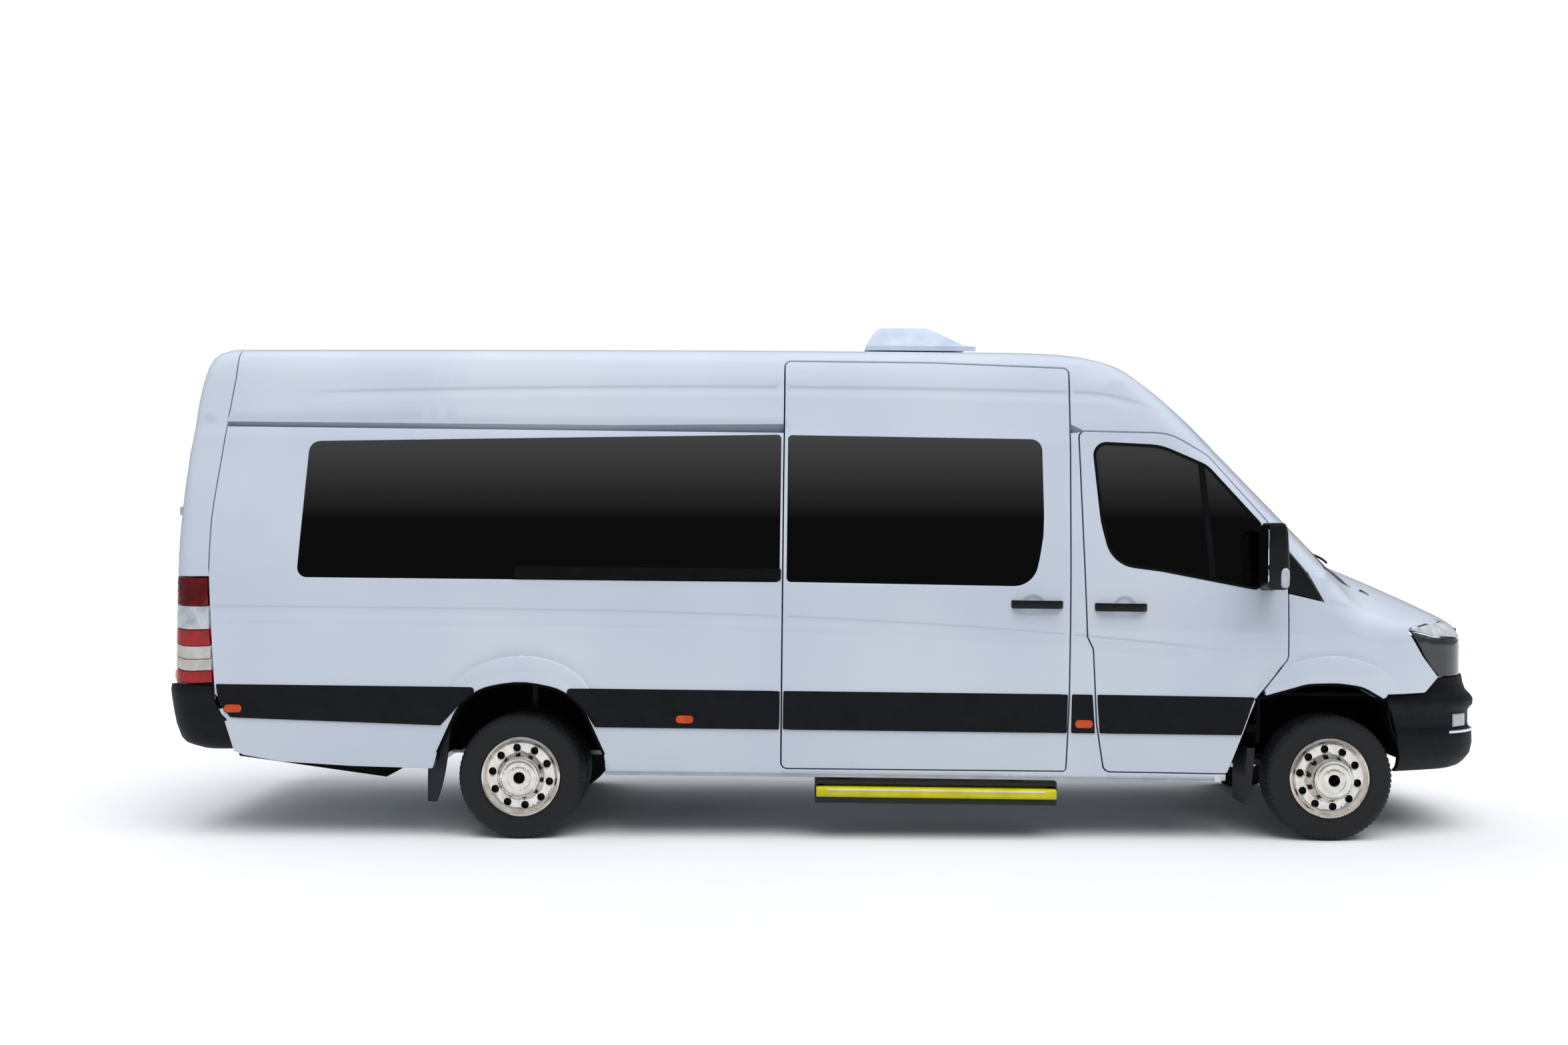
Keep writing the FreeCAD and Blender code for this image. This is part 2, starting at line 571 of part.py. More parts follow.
floor = floor.cut([box(F(-1420), bulkhead_x + 20, -long, -half_width + wall + run_gap + 2, -long, long),
                   box(F(-1420), bulkhead_x + 20, half_width - wall - run_gap - 2, long, -long, long)])

# ---- chassis ------------------------------------------------------------------------------------
rail_in, rail_out, rail_low = 380.0, 460.0, 500.0
rail_top = floor_low - seat_gap
rails = [box(R(-1780), F(640), *sorted((s * rail_in, s * rail_out)), rail_low, rail_top) for s in (-1, 1)]
crosses = [box(x, x + 70, -rail_in - 10, rail_in + 10, rail_low + 40, rail_top - 15)
           for x in (R(-1780), R(-760), R(620), 250.0, F(-1300), F(-420), F(560))]
frame = join(rails + crosses)
rear_hub_z = tyre_r * math.cos(math.radians(rake)) + rear_axle_x * math.sin(math.radians(rake))
front_hub_z = tyre_r * math.cos(math.radians(rake)) + front_axle_x * math.sin(math.radians(rake))
axle_r = 50.0
spring_z = rear_hub_z + axle_r + 1.0
springs = []
for s in (-1, 1):
    y0, y1 = sorted((s * (rail_in + 10), s * (rail_out - 10)))
    leafs = box(R(-640), R(640), y0, y1, spring_z, spring_z + 16)
    leafs = leafs.fuse([box(R(-420), R(420), y0, y1, spring_z + 16, spring_z + 30),
                        box(R(-640), R(-600), y0, y1, spring_z, rail_low - seat_gap),
                        box(R(600), R(640), y0, y1, spring_z, rail_low - seat_gap)])
    springs.append(leafs)
gearbox_z, gearbox_end = 470.0, F(-560)
engine_block = join([
    box(F(-130), F(520), -300, 300, 420, 1130),
    box(F(150), F(230), -rail_in + seat_gap, rail_in - seat_gap, 530, 590),
    tube((F(-129), 0, gearbox_z), (gearbox_end, 0, gearbox_z), 60)])
pipe_r, muffler_r, pipe_y, pipe_z = 30.0, 80.0, -230.0, 430.0
exhaust = join([
    tube((F(-130) - seat_gap, pipe_y, 500), (F(-260), pipe_y, 500), pipe_r),
    tube((F(-250), pipe_y, 500), (F(-700), pipe_y, pipe_z), pipe_r),
    tube((F(-700), pipe_y, pipe_z), (R(-1700), pipe_y, pipe_z + 10), pipe_r),
    tube((-1000, pipe_y, pipe_z), (-350, pipe_y, pipe_z), muffler_r),
    box(R(620) + 5, R(620) + 35, pipe_y - 15, pipe_y + 15, pipe_z, rail_low + 40 - seat_gap)])

# Front axle beam with a kingpin at each end, drawn level at the hubs' height.
pin_r, eye_r, beam = 14.0, 26.0, 24.0
eye_half, ear_t, post_in = 48.0, 30.0, 34.0
hub_z = tyre_r
ax = front_axle_x
front_axle = [box(ax - beam, ax + beam, -kingpin_y + 40, kingpin_y - 40, hub_z - 130, hub_z - 130 + 2 * beam)]
for s in (-1, 1):
    y0, y1 = sorted((s * (kingpin_y - 90), s * (kingpin_y - 40)))
    front_axle.append(box(ax - beam, ax + beam, y0, y1, hub_z - 130, hub_z + eye_half))
    y0, y1 = sorted((s * (kingpin_y - 60), s * kingpin_y))
    front_axle.append(box(ax - 20, ax + 20, y0, y1, hub_z - eye_half, hub_z + eye_half))
    front_axle.append(tube((ax, s * kingpin_y, hub_z - eye_half), (ax, s * kingpin_y, hub_z + eye_half),
                           eye_r))
    front_axle.append(tube((ax, s * kingpin_y, hub_z - eye_half - ear_t),
                           (ax, s * kingpin_y, hub_z + eye_half + ear_t), pin_r))
    y0, y1 = sorted((s * 395, s * 445))
    strut_top = ground_height(ax + beam, rail_low) - seat_gap
    front_axle.append(box(ax - beam, ax + beam, y0, y1, hub_z - 130 + 2 * beam - 1, strut_top))
front_axle = join(front_axle)


def knuckle(s):
    """A steering knuckle: two ears over the beam's eye, a post outboard and a stub axle."""
    y = s * kingpin_y
    wall_y = s * (kingpin_y + post_in)
    out_y = s * (kingpin_y + post_in + 22)
    pieces = []
    for z0 in (hub_z + eye_half + bearing_play, hub_z - eye_half - ear_t - bearing_play):
        ear = box(ax - 24, ax + 24, *sorted((y - s * 24, out_y)), z0, z0 + ear_t)
        pieces.append(ear.cut(tube((ax, y, z0 - 1), (ax, y, z0 + ear_t + 1), pin_r + bearing_play)))
    pieces.append(box(ax - 24, ax + 24, *sorted((wall_y, out_y)),
                      hub_z - eye_half - ear_t, hub_z + eye_half + ear_t))
    pieces.append(tube((ax, wall_y, hub_z), (ax, s * stub_end, hub_z), stub_r))
    return join(pieces)


stub_r, stub_end = 28.0, wheel_outer_y - 44
rear_stub_r = 34.0


def turned(profile_rw, x, y_out, s):
    """A profile of (radius, depth inboard of y_out, corner radius) spun about the wheel's axis."""
    wire = rounded(profile_rw, lambda p: Vec(x + p.x, s * (-y_out + p.y), hub_z))
    return Part.Face(wire).revolve(Vec(x, 0, hub_z), Vec(0, 1, 0), 360)


bead = rim_r - 4.0
tyre_profile = [
    (bead + seat_gap, 14), (bead + 14.3, 14), (bead + 14.3, 6), (tyre_r - 40, 0), (tyre_r, 22),
    (tyre_r, tyre_w - 22), (tyre_r - 40, tyre_w), (bead + 14.3, tyre_w - 6),
    (bead + 14.3, tyre_w - 14), (bead + seat_gap, tyre_w - 14),
]


def rim(bore, disc, crown, boss):
    """A disc wheel with its cover: barrel, disc at a depth, hub boss out to a crown."""
    return [
        (bore, crown), (boss, crown), (boss + 8, disc), (bead - 26, disc - 14), (bead - 16, 8),
        (bead + 14, 3), (bead + 14, 13.5), (bead, 13.5), (bead, 60), (bead - 12, 75),
        (bead - 12, tyre_w - 60), (bead, tyre_w - 45), (bead, tyre_w - 13.5),
        (bead + 14, tyre_w - 13.5), (bead + 14, tyre_w - 5), (bead - 10, tyre_w - 5),
        (bead - 20, tyre_w - 60), (bead - 22, 82), (bead - 40, disc), (boss + 16, disc + 18),
        (bore, disc + 24),
    ]


hand_holes, hand_hole_r, hand_circle = 10, 18.0, rim_r - 49


def hand_cut(shape, x):
    """The holes round a wheel's disc, cut through it from outside."""
    pins = []
    for k in range(hand_holes):
        a = math.radians(360 / hand_holes * k - 10)
        px, pz = x + hand_circle * math.cos(a), hub_z + hand_circle * math.sin(a)
        pins.append(tube((px, -wheel_outer_y, pz), (px, 100 - wheel_outer_y, pz), hand_hole_r))
    return shape.cut(pins)


front_wheel_r = turned(rim(stub_r + bearing_play, 55, -40, 82), ax, wheel_outer_y, 1)
front_wheel_r = front_wheel_r.fuse(turned(
    [(0, -68, 0), (70, -62, 0), (78, -36, 0), (stub_r + bearing_play, -36, 0),
     (stub_r + bearing_play, wheel_outer_y - stub_end - bearing_play, 0),
     (0, wheel_outer_y - stub_end - bearing_play, 0)],
    ax, wheel_outer_y, 1)).removeSplitter()
front_wheel_r = hand_cut(front_wheel_r, ax)
front_tyre_r = turned(tyre_profile, ax, wheel_outer_y, 1)
rx = rear_axle_x
twin_rim = rim(rear_stub_r + bearing_play, 92, -30, 84)
rear_wheels_r = turned(twin_rim, rx, wheel_outer_y, 1).fuse([
    turned([(0, -36, 0), (76, -32, 0), (84, -26, 0), (rear_stub_r + bearing_play, -26, 0),
            (rear_stub_r + bearing_play, 20, 0), (0, 20, 0)], rx, wheel_outer_y, 1),
    turned([(rear_stub_r + bearing_play, 90, 0), (110, 90, 0), (110, twin_pitch + 60, 0),
            (bead - 30, twin_pitch + 70, 0), (bead - 20, twin_pitch + 8, 0), (bead + 14, twin_pitch + 3, 0),
            (bead + 14, twin_pitch + 13.5, 0), (bead, twin_pitch + 13.5, 0),
            (bead, twin_pitch + tyre_w - 13.5, 0), (bead + 14, twin_pitch + tyre_w - 13.5, 0),
            (bead + 14, twin_pitch + tyre_w - 5, 0), (bead - 10, twin_pitch + tyre_w - 5, 0),
            (bead - 14, twin_pitch + 90, 0), (110, twin_pitch + 84, 0),
            (90, twin_pitch + 100, 0), (rear_stub_r + bearing_play, twin_pitch + 100, 0)],
           rx, wheel_outer_y, 1)]).removeSplitter()
rear_wheels_r = hand_cut(rear_wheels_r, rx)
rear_tyres_r = apart(turned(tyre_profile, rx, wheel_outer_y, 1),
                     turned(tyre_profile, rx, wheel_outer_y - twin_pitch, 1))
gear_end = set_down(gearbox_end, 0, gearbox_z)
shaft_dir = gear_end - Vec(rx, 0, hub_z)
shaft_dir.normalize()
nose_len = 330.0
axle_nose = Vec(rx, 0, hub_z) + shaft_dir * nose_len
rear_axle = join([
    tube((rx, -(wheel_outer_y - twin_pitch - tyre_w - 12), hub_z),
         (rx, wheel_outer_y - twin_pitch - tyre_w - 12, hub_z), axle_r),
    tube((rx, -wheel_outer_y + 21, hub_z), (rx, wheel_outer_y - 21, hub_z), rear_stub_r),
    Part.makeSphere(145, Vec(rx, 0, hub_z)), tube((rx, 0, hub_z), axle_nose, 48)])
propshaft = tube(axle_nose + shaft_dir * seat_gap, gear_end - shaft_dir * 60, 38).fuse(
    tube(axle_nose + shaft_dir * 50, gear_end - shaft_dir * (3 * seat_gap), 18)).removeSplitter()
tank = box(250 + 30, 980, 75, rail_in - seat_gap, 400, rail_low + 40 - seat_gap)

# ---- side step ----------------------------------------------------------------------------------
step_x0, step_x1 = -106.0, 1188.0
step_z, step_t = 232.0, 54.0
step_out = half_width - 12
housing_box = box(step_x0, step_x1, -step_out + 40, -520, step_z - 36, step_z + step_t + 34)
cavity = box(step_x0 + 12, step_x1 - 12, -long, -540, step_z - 6, step_z + step_t + 12)
runners = [box(x, x + 30, -step_out + 60, -545, step_z - 7, step_z - bearing_play)
           for x in (step_x0 + 60, step_x1 - 90)]
arms = []
for x in (step_x0 + 120, step_x1 - 180):
    arms += [box(x, x + 60, -540, -521, step_z + step_t + 20, 480),
             box(x, x + 60, -540, -rail_in - 20, 450, rail_low - seat_gap)]
step_housing = join([housing_box.cut(cavity)] + arms).fuse(runners).removeSplitter()
step_tread = box(step_x0 + 18, step_x1 - 18, -step_out, -560, step_z, step_z + step_t)
step_tread = step_tread.fuse(box(step_x0 + 4, step_x1 - 4, -step_out - 6, -step_out + 34,
                                 step_z, step_z + step_t)).removeSplitter()

# ---- mudflaps, one behind each wheel ------------------------------------------------------------
# The front ones hang from the rim of the round wheel house, the rear ones from the rear wall of theirs.
flap_out, flap_in = half_width - 40, half_width - 290
rear_flap_out = half_width - 105  # inside the body side
flap_t, flap_low = 12.0, 163.0
flap_head = house_low - seat_gap
flap_x = F(-5) - turn_r          # front face of the front flap, behind the turning tyre
front_flap = side_block([
    (flap_x, flap_head, 0), (flap_x, 411, 60), (flap_x - 25, 215, 0), (flap_x - 25 - flap_t, 215, 0),
    (flap_x - flap_t, 411, 60), (flap_x - flap_t, flap_head, 0)], -flap_out, -flap_in)
rear_flap_x = R(-465)
house_back = R(-house_half) + house_t + seat_gap
rear_flap = join([
    box(rear_flap_x, rear_flap_x + flap_t, -rear_flap_out, -flap_in, flap_low, house_low + 36),
    box(house_back, rear_flap_x, -rear_flap_out, -flap_in, house_low + 4, house_low + 36)])
mudflaps = apart(front_flap, rear_flap, flip(front_flap), flip(rear_flap))

# ---- outside fittings ---------------------------------------------------------------------------
over = envelope(-seat_gap)
air_side = [
    (150, roof_z - 60, 0), (158, roof_z - 2, 20), (222, roof_z + 107, 60), (510, roof_z + 109, 60),
    (708, roof_z + 6, 30), (775, roof_z - 2, 5), (775, roof_z - 60, 0),
]
air_end = [
    (-500, roof_z - 100, 0), (-500, roof_z, 10), (-430, roof_z + 112, 90),
    (430, roof_z + 112, 90), (500, roof_z, 10), (500, roof_z - 100, 0),
]
air = side_block(air_side, -500, 500).common(end_block(air_end)).cut(over)
proud = envelope(-9).cut(over)
amber = []
marker_half, marker_tall = 51, 25
for x, z in ((R(-1545), 669.0), (R(881), 639.0), (F(-1315), 640.0)):
    for low, high in (near, (300.0, long)):
        amber.append(proud.common(side_block(
            [(x - marker_half, z - marker_tall, 24), (x + marker_half, z - marker_tall, 24),
             (x + marker_half, z + marker_tall, 24), (x - marker_half, z + marker_tall, 24)], low, high)))
beacon = box(R(-1746), R(-1590), -60, 60, roof_z - 100, roof_z - 6).cut(over)
marker_lamps = apart(*amber, beacon)

mirror_x, mirror_z = F(-352), 1548.0
mirror_r = side_block(
    [(mirror_x - 68, mirror_z - 174, 40), (mirror_x - 68, mirror_z + 174, 40),
     (mirror_x + 68, mirror_z + 150, 60), (mirror_x + 68, mirror_z - 174, 40)],
    -half_width - 245, -half_width - 25)
mirror_r = mirror_r.fuse(side_block(
    [(mirror_x - 30, mirror_z - 160, 10), (mirror_x - 30, mirror_z - 90, 10),
     (mirror_x + 45, mirror_z - 90, 10), (mirror_x + 45, mirror_z - 160, 10)],
    -half_width - 40, 90 - half_width).cut(over)).removeSplitter()

# ---- inside -------------------------------------------------------------------------------------
dash_x = bulkhead_x - 25 - seat_gap
dash = side_block([(dash_x - 330, 1080, 60), (dash_x - 280, 1340, 90), (dash_x, 1395, 20), (dash_x, 1000, 20),
                   (dash_x - 200, 960, 60)]).common(envelope(wall + run_gap))
dash = dash.cut([box(F(-1420), bulkhead_x + 20, -long, -half_width + wall + run_gap + 2, -long, long),
                 box(F(-1420), bulkhead_x + 20, half_width - wall - run_gap - 2, long, -long, long)])
wheel_y = 430.0
column_tilt = math.radians(28)
col = Vec(-math.cos(column_tilt), 0, math.sin(column_tilt))
col_root = Vec(dash_x - 180, wheel_y, 1180)
col_top = col_root + col * 300
dash = dash.fuse(Part.makeCylinder(34, 240, col_root, col)).removeSplitter()
dash = dash.cut(Part.makeCylinder(16 + bearing_play, 400, col_root + col * 190, col))
ring = Part.makeTorus(190, 15, col_top, col)
hub = Part.makeCylinder(45, 34, col_top - col * 42, col)
steering = [ring, hub, Part.makeCylinder(16, 90, col_top - col * 105, col)]
for k in range(3):
    spoke = Part.makeBox(190, 26, 14, Vec(0, -13, -7))
    spoke.rotate(Vec(0, 0, 0), Vec(0, 0, 1), 90 + 120 * k)
    spoke.rotate(Vec(0, 0, 0), Vec(0, 1, 0), -90 + math.degrees(column_tilt))
    spoke.translate(col_top - col * 14)
    steering.append(spoke)
steering_wheel = join(steering)


def seat(x, y0, y1, foot0, foot1, deep=470.0):
    """One seat: plinth, cushion and back as one solid, its front edge at x."""
    z = floor_z + 300
    body = side_block([(x - deep - 60, z, 20), (x - deep + 40, z - 20, 20), (x - 20, z, 30), (x, z + 60, 50),
                       (x - 20, z + 140, 50), (x - deep + 20, z + 120, 30), (x - deep - 110, z + 760, 40),
                       (x - deep - 210, z + 750, 40)], y0, y1)
    return body.fuse(box(x - deep + 60, x - 90, foot0, foot1, floor_z, z)).removeSplitter()


front_seat_out = half_width - 310
front_seat_in = front_seat_out - 500
foot_in = 60.0                   # a plinth's inset from the seat's edges
front_seats = apart(*[
    seat(F(-700), *sorted((s * front_seat_in, s * front_seat_out)),
         *sorted((s * (front_seat_in + foot_in), s * (front_seat_out - foot_in)))) for s in (-1, 1)])
rows = []
for i in range(5):
    x = F(-1560) - 790 * i
    foot = house_in - 15 if i > 2 else half_width - 190
    rows.append(seat(x, 80, half_width - 110, 140, foot))
    if i > 0:
        rows.append(seat(x, 130 - half_width, -400, -foot, -430))
passenger_seats = apart(*rows)

# ---- where the moving pieces turn ---------------------------------------------------------------
front_door_open = 70.0
rear_door_open = 90.0
bonnet_open = 55.0
step_travel = 250.0
tow_hole_r, tow_spacing = 6.5, 600.0

# ---- nodes: sprung pieces are set at the rake, the running gear stays level ----------------------
def whole(shape, least=2e4):
    """Leave out slivers that a cut leaves behind."""
    kept = [q for q in shape.Solids if q.Volume > least]
    return kept[0] if len(kept) == 1 else Part.makeCompound(kept)


sprung = {
    "body_side_right": side_r, "body_side_left": side_l, "roof_panel": roof,
    "rear_frame": rear_frame, "windscreen_pillars": pillars, "front_wings": nose, "scuttle_panel": scuttle,
    "windscreen": windscreen, "side_windows": apart(window_r, window_s, window_l),
    "sliding_door": slider, "floor_pan": floor, "chassis_frame": frame,
    "leaf_springs": apart(*springs), "engine_block": engine_block,
    "exhaust_pipe": exhaust, "fuel_tank": tank, "front_bumper": bumper_f, "rear_bumper": bumper_r,
    "front_grille": grille, "headlamps": apart(headlight_r, flip(headlight_r)),
    "tail_lamps": apart(lamp_r, flip(lamp_r)), "marker_lamps": marker_lamps,
    "roof_air_conditioner": air, "step_housing": step_housing, "step_tread": step_tread,
    "bonnet": bonnet, "front_door_right": door_r, "front_door_left": flip(door_r),
    "front_door_glass_right": door_pane_r, "front_door_glass_left": flip(door_pane_r),
    "mirror_right": mirror_r, "mirror_left": flip(mirror_r),
    "rear_door_right": rear_r, "rear_door_left": flip(rear_r),
    "rear_door_glass_right": rear_pane_r, "rear_door_glass_left": flip(rear_pane_r),
    "dashboard": dash, "steering_wheel": steering_wheel, "front_seats": front_seats,
    "passenger_seats": passenger_seats, "mudflaps": mudflaps,
}
tow_centre = set_down(R(-1780), 0, rail_low + 63)
level = {
    "front_axle": front_axle, "knuckle_right": knuckle(-1), "knuckle_left": knuckle(1),
    "front_wheel_right": front_wheel_r, "front_wheel_left": flip(front_wheel_r),
    "front_tyre_right": front_tyre_r, "front_tyre_left": flip(front_tyre_r),
    "rear_axle": rear_axle, "propshaft": propshaft,
    "rear_wheels_right": rear_wheels_r, "rear_wheels_left": flip(rear_wheels_r),
    "rear_tyres_right": rear_tyres_r, "rear_tyres_left": flip(rear_tyres_r),
}
nodes = {}
for name, shape in sprung.items():
    shape = whole(shape).copy()
    shape.rotate(Vec(0, 0, 0), Vec(0, 1, 0), rake)
    nodes[name] = shape
for name, shape in level.items():
    nodes[name] = whole(shape)

for s in (-1, 1):                # the tow bracket's bolt holes run level through the rear crossmember
    y = s * tow_spacing / 2
    nodes["chassis_frame"] = nodes["chassis_frame"].cut(
        tube((tow_centre.x - 60, y, tow_centre.z), (tow_centre.x + 160, y, tow_centre.z), tow_hole_r))

os.makedirs("parts", exist_ok=True)
for name, shape in nodes.items():
    shape.exportStep("parts/%s.step" % name)
    print("%-24s %2d %s %8.2f" % (name, len(shape.Solids), shape.isValid(), shape.Volume / 1e6))
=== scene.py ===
import json
import math

import bmesh
import bpy
import numpy as np
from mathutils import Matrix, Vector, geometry


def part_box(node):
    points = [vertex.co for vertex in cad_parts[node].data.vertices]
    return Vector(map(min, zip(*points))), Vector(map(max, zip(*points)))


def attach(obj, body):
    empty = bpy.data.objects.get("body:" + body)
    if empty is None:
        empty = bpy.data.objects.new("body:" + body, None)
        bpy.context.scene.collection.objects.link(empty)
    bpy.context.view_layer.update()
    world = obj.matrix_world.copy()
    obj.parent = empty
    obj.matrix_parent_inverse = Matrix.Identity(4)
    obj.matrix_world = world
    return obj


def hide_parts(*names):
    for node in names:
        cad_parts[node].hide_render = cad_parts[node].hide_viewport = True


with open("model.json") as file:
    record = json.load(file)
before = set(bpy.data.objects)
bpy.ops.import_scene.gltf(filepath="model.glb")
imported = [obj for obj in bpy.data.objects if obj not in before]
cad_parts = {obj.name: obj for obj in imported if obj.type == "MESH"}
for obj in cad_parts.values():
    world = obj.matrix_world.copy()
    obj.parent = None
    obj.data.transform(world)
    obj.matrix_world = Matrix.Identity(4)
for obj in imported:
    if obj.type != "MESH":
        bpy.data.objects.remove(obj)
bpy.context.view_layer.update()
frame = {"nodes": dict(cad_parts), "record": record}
print("frame loaded:", len(frame["nodes"]), "nodes")

# Lengths are millimetres in the vehicle's level datum frame, +X forward, +Y left, +Z up.
# makeMesh sets a piece down on the wheels, nose slightly low, and turns it to metres.
vehicle = {
    "rake": 0.6,            # degrees nose down
    "halfWidth": 990, "roofSeam": 2212,
    "bandLow": 590, "bandHigh": 797, "bandProud": 9,
    "wall": 50, "leaf": 42, "lid": 28, "pane": 5, "shutGap": 7,
    "screenSlope": 45.4, "screenBow": 2500, "bonnetSlope": 21.2, "bonnetBow": 2000,
    "floorTop": 640,
}


def middleOf(node):
    low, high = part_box(node)
    return [(a + b) / 2 * 1000 for a, b in zip(low, high)]


frontAxle = middleOf("front_tyre_right")[0]
rearAxle = middleOf("rear_tyres_right")[0]
hubHeight = middleOf("front_tyre_right")[2]


def F(x):                   # a station measured from the front axle, negative rearward
    return frontAxle - 3.5 + x


def R(x):                   # a station measured from the rear axle, negative rearward
    return rearAxle - 3.5 + x


def vec(*parts):            # points from three arrays or numbers of one shape
    return np.stack(np.broadcast_arrays(*[np.asarray(p, float) for p in parts]), axis=-1)


def unit(v):
    return v / np.maximum(np.linalg.norm(v, axis=-1, keepdims=True), 1e-9)


def ease(t):                # 0 to 1 with level ends: 3t^2 - 2t^3
    t = np.clip(t, 0, 1)
    return t * t * (3 - 2 * t)


def smoothMax(a, b, k):     # the larger of two, rounded over k where they are nearly equal
    h = np.clip(1 - np.abs(a - b) / max(k, 1e-6), 0, 1)
    return np.maximum(a, b) + h * h * k / 4


def smoothMin(a, b, k):
    return -smoothMax(-a, -b, k)


def outsideOf(chain, u, v, turn=1):
    # Distance outside a convex chain of sides: the greatest of the distances to its lines, each
    # corner of radius r and angle f rounded over k = r tan(f/2) sin f.
    value, before = None, None
    for (u0, v0, r), (u1, v1, _) in zip(chain[:-1], chain[1:]):
        du, dv = np.array([u1 - u0, v1 - v0]) / math.hypot(u1 - u0, v1 - v0)
        away = turn * ((u - u0) * dv - (v - v0) * du)
        if value is None:
            value = away
        else:
            bend = math.acos(min(1, max(-1, du * before[0] + dv * before[1])))
            value = smoothMax(value, away, r * math.tan(bend / 2) * math.sin(bend))
        before = (du, dv)
    return value


# the body's form
halfWidth = vehicle["halfWidth"]
sectionChain = [
    (0, 338, 0), (halfWidth - 40, 338, 15), (halfWidth - 8, 590, 60), (halfWidth, 797, 300),
    (halfWidth, 1130, 500), (halfWidth - 20, 1400, 3000), (halfWidth - 128, 2225, 400),
    (halfWidth - 175, 2480, 300), (halfWidth - 232, 2640, 170), (0, 2736, 0),
]
backChain = [
    (R(-1907), 278, 0), (R(-1907), 1500, 3000), (R(-1812), 2420, 900), (R(-1757), 2646, 150),
    (-300, 2706, 60000), (F(-1330), 2700, 1500), (F(-670), 2350, 0),
]
planChain = [
    (R(-1915), 0, 0), (R(-1897), halfWidth + 4, 150), (F(260), halfWidth + 4, 900),
    (F(788), halfWidth - 275, 330), (F(988), 0, 0),
]
arches = {
    "rear": {"x": R(3), "z": 700, "wide": 388, "high": 268, "open": 0.62, "proud": 22},
    "front": {"x": F(-5), "z": 700, "wide": 425, "high": 317, "open": 0.68, "proud": 22},
}
recesses = [(1047, 1265, 72, 13), (1536, 1261, 72, 13)]     # handle recesses: x, z, radius, depth


def beltLine(x):            # falls away as a square and a fourth power ahead of x = -1800
    ahead = np.maximum(x + 1800, 0)
    return 1211 - 0.95e-5 * ahead ** 2 - 1.6e-13 * ahead ** 4


def roofLine(x):            # a long arch that drops with the roof's front
    return 2428 - 6.8e-6 * (x + 150) ** 2 - 5.4e-4 * np.maximum(x - 1330, 0) ** 2


def wingLine(x):            # from the black corner to the headlamp
    return 1305 - 0.21 * (x - 2598) - 2.7e-4 * np.maximum(x - 2598, 0) ** 2


def valley(t, depth, below, above):
    # a pressed line: a steep side above it and a long ramp below, both eased
    return depth * np.where(t < 0, 1 - ease(-t / below), 1 - ease(t / above))


def relief(x, z):           # how far the side is pressed in, negative where it stands out
    depth = valley(z - beltLine(x), 6.5, 85, 15) * ease((2160 - x) / 500) * ease((x + 3420) / 60)
    depth = depth + valley(z - roofLine(x), 5, 60, 14) * ease((1760 - x) / 250) * ease((x + 2950) / 400)
    depth = depth + valley(z - wingLine(x), 6, 70, 16) * ease((3030 - x) / 200) * ease((x - 2540) / 50)
    depth = depth + 5 * ease((z - 2140) / 72) * (1 - ease((z - 2212) / 25)) * ease((1330 - x) / 40)
    for arch in arches.values():
        out = np.hypot((x - arch["x"]) / arch["wide"], (z - arch["z"]) / arch["high"])
        rise = np.clip((1 - out) / (1 - arch["open"]), 0, 1) ** 0.75
        above = ease((z - 560) / 200)
        depth = depth - arch["proud"] * rise * above + valley(out * 300 - 300, 6, 1, 16) * above * (out > 1)
    for x0, z0, radius, deep in recesses:
        out = np.hypot(x - x0, z - z0) / radius
        depth = depth + deep * ease((1 - out) / 0.45)
    return depth


def crowned(slope, x0, z0, radius, x, y, z):
    # distance above a sloping plane through (x0, z0) that bows down crosswise as a cylinder does
    turn = math.radians(slope)
    rise = (x - x0) * math.sin(turn) + (z - z0) * math.cos(turn)
    return np.hypot(y, rise + radius) - radius


def plainForm(p):
    x, y, z = p[..., 0], np.abs(p[..., 1]), p[..., 2]
    back = outsideOf(backChain, x, z, -1)
    screen = crowned(vehicle["screenSlope"], F(172), 1496, vehicle["screenBow"], x, y, z)
    lid = crowned(vehicle["bonnetSlope"], F(172), 1496, vehicle["bonnetBow"], x, y, z)
    lid = smoothMax(lid, crowned(28.1, F(600), 1330, 6000, x, y, z), 60)
    lid = smoothMax(lid, crowned(49.2, F(862), 1190, 5000, x, y, z), 45)
    box = np.maximum(x - F(-9), z - 1460)
    front = smoothMin(smoothMin(screen, lid, 25), box, 40)
    nose = (x - F(958)) * math.cos(math.radians(4.1)) + (z - 900) * math.sin(math.radians(4.1))
    front = smoothMax(front, nose, 60)
    plan = outsideOf(planChain, x, y, -1)
    return back, front, plan, x, y, z


def bodyForm(p, pressed=True):
    back, front, plan, x, y, z = plainForm(p)
    side = outsideOf(sectionChain, y, z)
    if pressed:
        side = side + relief(x, z)
    form = smoothMax(side, back, 90)
    form = smoothMax(form, front, 95)
    return smoothMax(form, plan, 60)


def innerForm(p):
    return bodyForm(p, False)


def outward(form, p, h=0.4):    # the form's slope, by differences
    parts = []
    for axis in np.eye(3):
        parts.append(form(p + axis * h) - form(p - axis * h))
    return unit(np.stack(parts, axis=-1))


def meet(form, start, way, level, reach=2600):
    # where rays from inside leave the form's level, by halving
    low = np.zeros(len(start))
    high = np.full(len(start), float(reach))
    for _ in range(34):
        middle = (low + high) / 2
        inside = form(start + way * middle[:, None]) < level
        low = np.where(inside, middle, low)
        high = np.where(inside, high, middle)
    return start + way * ((low + high) / 2)[:, None]


# ways of laying a flat pattern on the body


